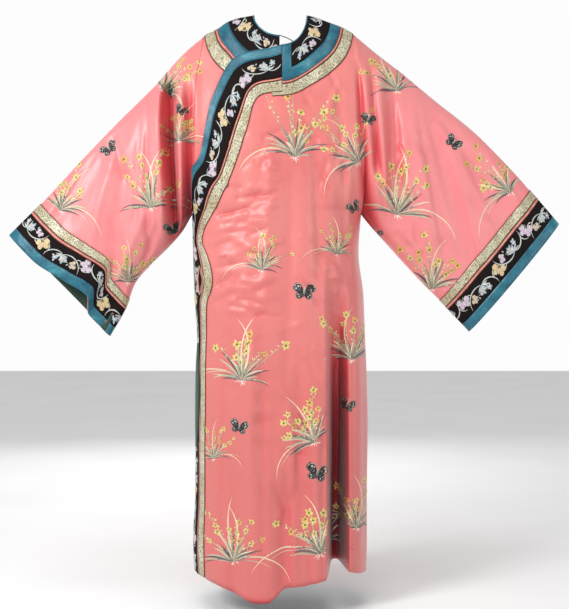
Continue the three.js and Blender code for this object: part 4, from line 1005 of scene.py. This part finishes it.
class Stitches:
    def __init__(self, seed):
        self.rng = random.Random(seed)
        self.at, self.high, self.tint, self.faces = [], [], [], []
        self.count = 0

    def _keep(self, at, high, tint, faces):
        self.at.append(at)
        self.high.append(high)
        self.tint.append(tint)
        self.faces.append(np.asarray(faces) + self.count)
        self.count += len(at)

    def strip(self, line, widths, tint, tip=None, height=0.6, lift=0.0):
        """A ribbon of floss along a line, domed across."""
        side = across(line) * (np.asarray(widths) / 2)[:, None]
        n = len(line)
        at = np.concatenate([line + side, line, line - side])
        edge = np.full(n, FLAT_EDGE + lift)
        high = np.concatenate([edge, np.full(n, height + lift), edge])
        t = np.linspace(0, 1, n)[:, None]
        shade = lerp(np.array(tint)[None], np.array(tip or tint)[None], t)
        shade = shade * np.array([[1 + self.rng.uniform(-0.1, 0.1)] * 3 + [1]])
        faces = []
        for i in range(n - 1):
            faces += [(i, i + 1, n + i + 1, n + i), (n + i, n + i + 1, 2 * n + i + 1, 2 * n + i)]
        # Both edges of each stitch are painted a tenth darker than its raised middle, a painted shade.
        self._keep(at, high, np.concatenate([shade * 0.9, shade, shade * 0.9]), faces)

    def leaf(self, start, angle, length, bend, width, tint, tip=None, steps=14, power=1.4, lift=0.0):
        line = path(start, angle, length, bend, steps, power)
        self.strip(line, taper(steps, width), tint, tip, lift=lift)
        return line

    def petal(self, start, angle, length, width, tint, tip, lift=0.25):
        self.strip(path(start, angle, length, 0, 4, 1), taper(4, width, 0.3, 0.15, 0.55), tint, tip, 0.5, lift)

    def disc(self, centre, radius, tint, lift=0.5, sides=8, height=0.5):
        turns = np.linspace(0, 2 * np.pi, sides, endpoint=False)
        ring_at = np.stack([np.cos(turns), np.sin(turns)], -1) * radius + np.asarray(centre)
        at = np.concatenate([ring_at, [centre]])
        high = np.concatenate([np.full(sides, FLAT_EDGE + lift), [height + lift]])
        faces = [(i, (i + 1) % sides, sides, sides) for i in range(sides)]
        self._keep(at, high, np.tile(np.array(tint), (sides + 1, 1)), faces)

    def blossom(self, centre, size, angle, tints, core=OLIVE):
        """Long narrow petals with short broad ones between them, about a heart."""
        for i in range(5):
            turn = angle + 72 * i + self.rng.uniform(-14, 14)
            share, broad, way = ((1.0, 0.5, 1), (0.8, 0.9, -1))[i % 2]
            long = size * self.rng.uniform(0.8, 1.15) * share
            self.petal(centre, turn, long, long * broad, *tints[::way])
        self.disc(centre, size * 0.27, core, 0.6)

    def wing(self, root, angle, length, width, scallops, tint, marks, edge_tint):
        """A fan of floss about the wing's root, with pale marks and an edge line."""
        n = 17
        t = np.linspace(-1, 1, n)
        spread = math.degrees(math.atan2(width, length))
        turn = np.radians(angle + t * spread)
        reach = length * (1 - 0.34 * np.abs(t) ** 2.2) * (1 - 0.06 * np.cos(np.pi * scallops * t) ** 2)
        ring_at = np.stack([np.sin(turn) * reach, np.cos(turn) * reach], -1) + root
        rings = [lerp(root, ring_at, w) for w in (0.2, 0.4, 0.6, 0.8, 1)]
        at = np.concatenate([[root]] + rings)
        high = np.concatenate([[0.4], np.full(4 * n, 0.7), np.full(n, FLAT_EDGE)])
        faces = [(0, 1 + i, 2 + i, 2 + i) for i in range(n - 1)]
        for k in range(4):
            a = 1 + k * n
            faces += [(a + i, a + n + i, a + n + i + 1, a + i + 1) for i in range(n - 1)]
        shade = np.tile(np.array(tint), (len(at), 1))
        self._keep(at, high, shade, faces)
        self.strip(lerp(root, ring_at, 0.9), np.full(n, length * 0.035), edge_tint, lift=0.35, height=0.35)
        for turn_at, far, big in marks:
            spot = root + heading(angle + turn_at * spread) * length * far
            self.disc(spot, length * big, edge_tint, lift=0.75, sides=6, height=0.3)
        for k in (-0.45, 0.1):
            far = heading(angle + k * spread) * length
            self.strip(np.array([root + far * 0.25, root + far * 0.42, root + far * 0.58]),
                       [length * 0.015, length * 0.03, length * 0.015], edge_tint, lift=0.6, height=0.25)

    def butterfly(self, centre, size, angle, tint, edge_tint, spread=1.0):
        centre = np.asarray(centre, float)
        marks = [(0.3, 0.62, 0.09), (-0.3, 0.66, 0.08), (0.65, 0.5, 0.06), (0.0, 0.84, 0.05), (0.5, 0.8, 0.05)]
        for way in (-1, 1):
            self.wing(centre, angle + way * 126 * spread, size * 0.74, size * 0.56, 3, tint, marks[:2], edge_tint)
            self.wing(centre, angle + way * 58 * spread, size, size * 0.66, 1, tint, marks, edge_tint)
        body_line = path(centre + size * 0.34 * -heading(angle), angle, size * 0.7, 0, 6)
        self.strip(body_line, taper(6, size * 0.2, 0.3, 0.3, 0.6), tint, edge_tint, height=0.9, lift=0.6)
        for way in (-1, 1):
            feeler = path(body_line[-1], angle + way * 14, size * 0.45, way * 40, 6)
            self.strip(feeler, np.full(7, 0.7), edge_tint, lift=0.2)

    def blade(self, start, angle, length, bend, width, tint, rim, steps=14, power=1.4, lift=0.0):
        """A leaf with a pale line of floss along one side."""
        line = self.leaf(start, angle, length, bend, width, tint, rim, steps, power, lift)
        side = across(line) * (taper(steps, width) * 0.36)[:, None]
        self.strip(line + side * self.rng.choice((-1, 1)), taper(steps, width * 0.34), rim, None, 0.5, lift + 0.25)

    def orchid(self, base, size, lean, seed, pale, tall, rise):
        """A clump of arching leaves with flower stems and roots.

        pale gives the side of its drooping pale leaves (0 is both), tall how many stand up, rise the stems' height."""
        rng = self.rng = random.Random(seed)
        base = np.asarray(base, float)

        def near():
            return base + np.array([rng.uniform(-4, 4), rng.uniform(-1.5, 2)]) * size
        for k in range(8):
            turn = 180 + lean + (k - 3.5) * 21 + rng.uniform(-8, 8)
            self.leaf(near(), turn, rng.uniform(8, 16) * size, rng.uniform(-20, 20), 1.5 * size, ROOT_WHITE, steps=5)
        for way in ([-1, 1] if pale == 0 else [pale]):
            self.leaf(near(), lean + way * rng.uniform(46, 58), rng.uniform(140, 178) * size,
                      way * rng.uniform(88, 118), 3.0 * size, PALE_SAGE, CREAM, 24, 1.0, lift=0.1)
            self.leaf(near(), lean + way * rng.uniform(58, 70), rng.uniform(84, 110) * size,
                      way * rng.uniform(50, 75), 2.2 * size, SLATE, CREAM, 20, 1.1, lift=0.1)
        for k in range(int(tall)):
            way = pale if k % 2 == 0 else -pale
            self.leaf(near(), lean - way * rng.uniform(4, 16), rng.uniform(135, 165) * size,
                      way * rng.uniform(38, 74), 3.4 * size, PALE_SAGE, CREAM, 22, 1.8, lift=0.15)
        for way in (-1, 1):
            for k in range(4):
                tint = (MAUVE, SLATE, MAUVE, MOSS)[k]
                self.blade(near(), lean + way * rng.uniform(46, 82), rng.uniform(38, 84) * size,
                           way * rng.uniform(15, 60), 4.2 * size, tint, (SLATE, PALE_SAGE)[k % 2], 14, 1.5, 0.05 * k)
        for k in range(11):
            turn = lean + (k - 5) * 8.5 + rng.uniform(-5, 5)
            tint, rim = ((SAGE, PALE_SAGE), (MAUVE, SLATE), (SLATE, CREAM), (MOSS, SAGE))[k % 4]
            self.blade(near(), turn, rng.uniform(38, 84) * size, (k - 5) * rng.uniform(3, 9) + rng.uniform(-10, 10),
                       rng.uniform(4.6, 7.2) * size, tint, rim, 12, lift=0.04 * (k % 4))
        for k in range(6):
            turn = lean + (k - 2.5) * 18 / rise + rng.uniform(-7, 7)
            long = rng.uniform(62, 122) * size * rise * (1 - 0.05 * abs(k - 2.5))
            stem = self.leaf(near(), turn, long, (k - 2.5) * rng.uniform(2, 10) + rng.uniform(-22, 22), 2.0 * size,
                             SAGE, PALE_SAGE, 14, lift=0.3)
            for j in range(rng.choice((1, 2, 2, 3))):
                spot = stem[-1 - int(j * 3.2 + rng.uniform(0, 2))]
                off = np.array([rng.uniform(-7, 7), rng.uniform(-4, 4)]) * size
                tints = ((YELLOW, LEMON), (LEMON, YELLOW), (PEACH, YELLOW))[rng.randrange(3)]
                self.blossom(spot + off, rng.uniform(8.0, 12.0) * size, rng.uniform(0, 72), tints)
            for j in range(11):
                spot = stem[rng.randrange(4, 14)] + np.array([rng.uniform(-5, 5), rng.uniform(-3, 3)]) * size
                tint = (PALE_SAGE, LEMON, CREAM, SAGE)[rng.randrange(4)]
                self.petal(spot, rng.uniform(-80, 80), rng.uniform(4, 7.5) * size, 2.8 * size, tint, LEMON, lift=0.15)

    def make(self, name, place):
        at, high, tint = (np.concatenate(v) for v in (self.at, self.high, self.tint))
        faces = np.concatenate(self.faces)
        p, n, ok = place(at)
        real = ok[faces].all(1)
        laid, flat = (np.linalg.norm(v[faces[:, 0]] - v[faces[:, 2]], axis=1) for v in (p, at))
        real &= laid < flat * 2.5 + JUMP / 3
        faces = faces[real]
        used, back = np.unique(faces, return_inverse=True)
        faces = back.reshape(faces.shape)
        clean = [tuple(f) if f[2] != f[3] else tuple(f[:3]) for f in faces]
        pieces[name] = mesh_object(name, (p + n * high[:, None])[used], clean, [FLOSS], None,
                                   {"tint": np.clip(tint[used], 0, 1)})


def tree_of(names):
    verts, faces, count = [], [], 0
    for name in names:
        p, f = SHELLS[name]
        verts.append(p)
        faces += [[v + count for v in g] for g in f]
        count += len(p)
    return BVHTree.FromPolygons([tuple(v) for v in np.concatenate(verts)], faces)


def lay_on(names, face):
    """Places plane points on the cloth seen from the front (1) or the back (-1)."""
    tree = tree_of(names)

    def place(at):
        p = np.zeros((len(at), 3))
        n = np.tile(np.array([0.0, -face, 0.0]), (len(at), 1))
        ok = np.zeros(len(at), bool)
        for i, (x, z) in enumerate(at):
            hit, normal, _, _ = tree.ray_cast(Vector((x, -face * RAY_FROM, z)), Vector((0, face, 0)))
            if hit is not None:
                p[i], ok[i] = hit, True
                normal = np.array(normal)
                n[i] = normal if normal[1] * face < 0 else -normal
        return p, n, ok
    return place


class BandMap:
    """Places points given by millimetres along a band and from its middle line."""

    def __init__(self, grids, width):
        self.width = width
        self.p = np.concatenate([g[0] for g in grids])
        self.n = np.concatenate([g[1] for g in grids])
        mid = self.p[:, self.p.shape[1] // 2]
        self.along = np.concatenate([[0], np.cumsum(np.linalg.norm(np.diff(mid, axis=0), axis=1))])
        self.length = self.along[-1]

    def place(self, at):
        share = 0.5 + at[:, 1] / self.width
        ok = (share > 0.015) & (share < 0.985) & (at[:, 0] > 1) & (at[:, 0] < self.length - 1)
        row = np.interp(at[:, 0], self.along, np.arange(len(self.along)))
        col = np.clip(share, 0, 1) * (self.p.shape[1] - 1)
        i = np.clip(row.astype(int), 0, len(self.along) - 2)
        j = np.clip(col.astype(int), 0, self.p.shape[1] - 2)
        a, b = (row - i)[:, None], (col - j)[:, None]

        def mixed(g):
            return lerp(lerp(g[i, j], g[i + 1, j], a), lerp(g[i, j + 1], g[i + 1, j + 1], a), b)
        n = unit(mixed(self.n))
        return mixed(self.p) + n * TRIM_TO, n, ok


VINE_UNIT = 108.0


def vine(seed, length, width):
    """Curling vines with sprays, blossoms and butterflies along a band."""
    work = Stitches(seed)
    rng = work.rng
    u, k = 0.0, seed
    while u < length:
        way = 1 if k % 2 == 0 else -1

        def spot(a, b):
            return np.array([u + a * VINE_UNIT, way * b * width])

        def arc(start, angle, long, bend, wide, tint, tip=None, steps=16, lift=0.0):
            turn = angle if way > 0 else 180 - angle
            return work.leaf(start, turn, long * VINE_UNIT, bend * way, wide, tint, tip, steps, 1.0, lift)
        node = spot(0.3, 0.08)
        big = arc(node, 56, 0.66, 118, 2.9, ICE, SNOW)
        arc(node, -62, 0.5, -128, 2.9, ICE, SNOW)
        arc(node, 150, 0.26, -70, 2.4, ICE)
        arc(big[8], 20, 0.24, 210, 2.2, SNOW, ICE)
        arc(big[11], 140, 0.2, -150, 2.0, ICE)
        arc(spot(-0.04, -0.3), 40, 0.3, -130, 2.2, ICE, SNOW)
        for j in range(7):
            arc(node, 180 + (j - 3) * 26 + rng.uniform(-8, 8), rng.uniform(0.13, 0.21), rng.uniform(-30, 30), 3.2,
                (ICE, SKY, SNOW)[j % 3], SNOW, 7, lift=0.15)
        work.blossom(spot(0.37, -0.14), 11.5, rng.uniform(0, 70), (SNOW, SKY), core=SAND)
        work.blossom(spot(0.2, -0.22), 9.0, rng.uniform(0, 70), (SKY, SNOW), core=SNOW)
        for j in range(3):
            work.petal(spot(0.5 + 0.05 * j, -0.3 + 0.03 * j), 30 + 40 * j, 6, 3, SNOW, SKY)
        tint, edge = ((LILAC, SNOW), (SAND, LEMON))[k % 2]
        work.butterfly(spot(0.84, 0.1), 20, rng.uniform(-70, 70), tint, edge, 0.92)
        work.butterfly(spot(0.6, -0.16), 12, rng.uniform(-70, 70), (SAND, LILAC)[k % 2], SNOW, 0.9)
        u += VINE_UNIT
        k += 1
    return work


# Orchid clumps: face, x z of the root, size, lean, side of the long pale leaves (0 is both), tall leaves
CLUMPS = table("face x z size lean pale tall", [
    (1, 31, -339, 1.0, 2, -1, 0), (1, 172, -347, 0.8, -30, -1, 1), (1, -42, -588, 0.66, 4, -1, 2),
    (1, 124, -551, 0.56, 2, -1, 1), (1, -85, -828, 1.0, 6, -1, 2), (1, 158, -785, 0.85, -6, 1, 1),
    (1, 73, -962, 0.9, -30, -1, 1), (1, -103, -1226, 0.9, 0, 1, 2), (1, 86, -1205, 1.0, -4, -1, 1),
    (1, 168, -1160, 0.8, 4, -1, 1), (1, -148, -1003, 0.55, -6, 1, 1),
    (1, -269, -174, 0.8, 46, 1, 0), (1, -290, -446, 1.0, -4, 1, 2), (1, -501, -448, 0.8, 24, 1, 1),
    (1, -348, -612, 0.7, 8, -1, 1), (1, -226, -300, 0.62, 4, 1, 1),
    (1, 262, -181, 0.9, -20, 1, 1), (1, 263, -460, 1.0, 10, 1, 2), (1, 520, -408, 0.9, -46, -1, 0),
    (1, 346, -626, 0.9, 0, 1, 1),
    (-1, -10, -345, 1.0, -2, 1, 1), (-1, -110, -560, 0.75, 10, -1, 2), (-1, 92, -600, 0.85, -8, 1, 1),
    (-1, 10, -830, 1.0, 4, -1, 1), (-1, -120, -960, 0.85, -6, 1, 1), (-1, 120, -985, 0.85, 8, -1, 2),
    (-1, -60, -1205, 1.0, 2, 1, 1), (-1, 95, -1215, 0.85, -6, -1, 1),
    (-1, -275, -190, 0.8, 30, 1, 0), (-1, -300, -450, 0.95, 4, 1, 2), (-1, -490, -450, 0.8, 22, 1, 1),
    (-1, -350, -612, 0.7, 8, -1, 1), (-1, 280, -190, 0.8, -28, -1, 0), (-1, 285, -465, 0.95, 4, -1, 2),
    (-1, 500, -420, 0.8, -34, -1, 1), (-1, 350, -612, 0.7, -4, 1, 1)])

# Butterflies: face, x z of the middle, length of a fore wing, turn
BUTTERFLIES = table("face x z size turn", [
    (1, -390, -310, 21, -35), (1, -223, -232, 16, 30), (1, -247, -491, 18, -20), (1, 194, -252, 17, 15),
    (1, 390, -297, 21, 40), (1, 163, -446, 17, -30), (1, 216, -502, 16, 20), (1, 51, -636, 25, 4),
    (1, -91, -931, 21, 12), (1, 79, -1030, 26, 14), (1, 147, -887, 19, 20),
    (-1, 50, -640, 25, 60), (-1, -60, -700, 18, 20), (-1, 70, -1060, 24, -50), (-1, -70, -1080, 19, 15),
    (-1, -390, -310, 21, -35), (-1, 390, -300, 21, 40), (-1, -230, -330, 17, 20), (-1, 215, -340, 17, -20)])
BODY_HALF = 205.0
STEMS, TALL_STEMS = 1.25, 1.6
STEM_LINE, CHEST_HALF = -400, 180


def motifs(name, names, face, keep):
    work = Stitches(7)
    for i, (side, x, z, size, lean, pale, tall) in enumerate(zip(*CLUMPS.values())):
        if side == face and keep(x):
            on_chest = z > STEM_LINE and abs(x) < CHEST_HALF
            work.orchid((x, z), size, lean, 100 + i, int(pale), tall, TALL_STEMS if on_chest else STEMS)
    for side, x, z, size, turn in zip(*BUTTERFLIES.values()):
        if side == face and keep(x):
            work.butterfly((x, z), size * 1.18, turn, INK, ASH)
    work.make(name, lay_on(names, face))


for face, half, names in ((1, BODY_HALF - 20, ["front", "under_front", "sleeve_left", "sleeve_right"]),
                          (-1, BODY_HALF, ["back", "sleeve_left", "sleeve_right"])):
    for where, keep in (("", lambda x: abs(x) < half), ("left_", lambda x: x <= -half),
                        ("right_", lambda x: x >= half)):
        motifs("embroidery_" + where + ("front" if face > 0 else "back"), names, face, keep)

VINES = [
    ("collar", [collar_grid(inset_rows(BINDING, COLLAR, 9), BLACK_FROM)], (COLLAR - BINDING) * EDGE_WIDTH),
    ("front", [edging_grid(inset_rows(TEAL, BLACK, 10))], (BLACK - TEAL) * EDGE_WIDTH)]
VINES += [("cuff_" + side, [cuff_grid(side, CUFF_TEAL, CUFF_BLACK, 8)], CUFF_BLACK - CUFF_TEAL)
          for side in ("left", "right")]
for i, (name, grids, width) in enumerate(VINES):
    laid = BandMap(grids, width)
    vine(11 + i, laid.length, laid.width).make("vine_" + name, laid.place)

# The cloud-shaped end of the side's black band, ringed with cord
edging_map = BandMap([edging_grid(fine([0, ALL], 24), 0)], EDGE_WIDTH)
CLOUD_ALONG = float(np.interp(16 * FRONT_DOWN + FRONT_DOWN, np.arange(len(edging_map.along)), edging_map.along))
CLOUD_ACROSS, CLOUD_HALF, CLOUD_LONG, CLOUD_RING = 21.0, 5.5, 23.0, 3.6


def oval(half, long, turn):
    """Rounded lozenge on the edging, by turn round it."""
    pinch = 1 + 0.12 * np.cos(4 * turn)
    return np.stack([CLOUD_ALONG + long * np.sin(turn) * pinch, CLOUD_ACROSS + half * np.cos(turn) * pinch], -1)


def oval_band(name, rings, mat, lift, profile):
    turn = np.linspace(0, 2 * np.pi, 49)
    turn[-1] = 0
    flat = np.stack([oval(a, b, turn) for a, b in rings], 1)
    p, n, _ = edging_map.place(flat.reshape(-1, 2))
    p, n = p.reshape(flat.shape[:2] + (3,)), n.reshape(flat.shape[:2] + (3,))
    band(name, None, [(p, n)], mat, lift, lift + 0.5, profile)


def ring_sizes(inner, width, steps):
    return [(CLOUD_HALF + inner + width * w, CLOUD_LONG + inner + width * w) for w in np.linspace(0, 1, steps)]


oval_band("cloud_black", [(CLOUD_HALF * w, CLOUD_LONG * w) for w in (0.02, 0.5, 1)], GROUND, 0.5, None)
oval_band("cloud_cord", ring_sizes(0, CLOUD_RING, 6), PIPING, 0.5, dome(1.2))
oval_band("cloud_ribbon", ring_sizes(CLOUD_RING, 3.5, 4), RIBBON_M, 0.4, None)

# Camera, lamps, surround and floor
CAMERA_AT, LENS, SENSOR = (0.008, -2.6, -0.663), 71.5, 36.0
LAMPS = [
    ("key", (-1.8, -2.0, 0.9), (0, 0, -0.4), 0.9, 56), ("fill", (2.6, -2.2, -0.1), (0, 0, -0.7), 1.6, 17),
    ("behind", (-0.4, 2.6, 0.4), (0, 0, -0.6), 1.6, 24)]
SUN_POWER, SUN_SPREAD, SUN_TURN = 0.9, 35, (24, -8, 0)
SKY_STOPS, SKY_STRENGTH = ((0.26, 1), (0.5, 0.24)), 0.98
FLOOR_TONES = (0.91, 0.94)
FLOOR_Z, FLOOR_HALF = -1.345, 9

cam = bpy.data.cameras.new("camera")
cam.sensor_fit, cam.sensor_width, cam.lens = "HORIZONTAL", SENSOR, LENS
bpy.context.scene.camera = put("camera", cam, CAMERA_AT, (math.radians(90), 0, 0))
bpy.context.scene.view_settings.view_transform = "Standard"

for name, at, look, size, power in LAMPS:
    light = bpy.data.lights.new(name, "AREA")
    light.shape = "RECTANGLE"
    light.size = light.size_y = size
    light.energy = power
    put(name, light, at, (Vector(look) - Vector(at)).to_track_quat("-Z", "Y").to_euler())
sun = bpy.data.lights.new("top", "SUN")
sun.energy, sun.angle = SUN_POWER, math.radians(SUN_SPREAD)
put("top", sun, turn=[math.radians(a) for a in SUN_TURN])

# A pale surround, brightest round the horizon
world = bpy.data.worlds.new("world")
bpy.context.scene.world = world
world.use_nodes = True
sky, backdrop = world.node_tree, world.node_tree.nodes["Background"]
co, axes, height, tone = (sky.nodes.new("ShaderNode" + kind)
                          for kind in ("TexCoord", "SeparateXYZ", "Math", "ValToRGB"))
height.operation = "ABSOLUTE"
for out, into in ((co.outputs["Generated"], axes.inputs[0]), (axes.outputs["Z"], height.inputs[0]),
                  (height.outputs[0], tone.inputs[0]), (tone.outputs["Color"], backdrop.inputs["Color"])):
    sky.links.new(out, into)
for stop, (at, level) in zip(tone.color_ramp.elements, SKY_STOPS):
    stop.position, stop.color = at, (level, level, level, 1)
backdrop.inputs["Strength"].default_value = SKY_STRENGTH

floor_s = Shade("floor", 0.9)
floor_s.colour(floor_s.ramp(floor_s.noise((2, 2, 2), 2), [(at, (level, level, level, 1))
                                                          for at, level in zip((0.3, 0.7), FLOOR_TONES)]))
fm = bpy.data.meshes.new("floor")
fm.from_pydata([(x * FLOOR_HALF, y * FLOOR_HALF, FLOOR_Z) for x, y in ((-1, -1), (1, -1), (1, 1), (-1, 1))], [],
               [(0, 1, 2, 3)])
fm.materials.append(floor_s.mat)
floor = put("floor", fm)

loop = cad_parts["neck_loop"]
loop.data.materials.clear()
loop.data.materials.append(CORD)

# The cut of each sheet: width and length in metres, its area, how it is held and what it lies on
AT_NECK, AT_FRONT = ("front_cloth", "back_cloth", "under_front_cloth"), ("front_cloth",)
SHEETS = [
    ("front", 0.64, 1.31, 0.66, "draped", ()), ("under_front", 0.30, 0.46, 0.075, "draped", ()),
    ("back", 0.56, 1.27, 0.61, "draped", ()), ("sleeve_left", 0.80, 0.50, 0.36, "draped", ()),
    ("sleeve_right", 0.80, 0.52, 0.375, "draped", ()),
    ("collar_black_cloth", 0.054, 0.65, None, "laid", AT_NECK),
    ("collar_teal_cloth", 0.025, 0.95, None, "laid", AT_NECK),
    ("collar_ribbon_cloth", 0.025, 1.13, None, "laid", AT_NECK),
    ("front_teal_cloth", 0.024, 1.24, None, "laid", AT_FRONT),
    ("front_black_cloth", 0.059, 1.19, None, "laid", AT_FRONT),
    ("front_ribbon_cloth", 0.025, 1.10, None, "laid", AT_FRONT)]
SHEETS += [("cuff_%s_%s_cloth" % (kind, side), width, length, None, "laid", ("sleeve_%s_cloth" % side,))
           for side, rows in (("left", (("teal", 0.023, 0.71), ("black", 0.048, 0.68), ("ribbon", 0.023, 0.63))),
                              ("right", (("teal", 0.023, 0.69), ("black", 0.048, 0.70), ("ribbon", 0.023, 0.69))))
           for kind, width, length in rows]
SHEETS += [("lining_roll_cloth", 0.030, 0.235, None, "folded", AT_FRONT)]
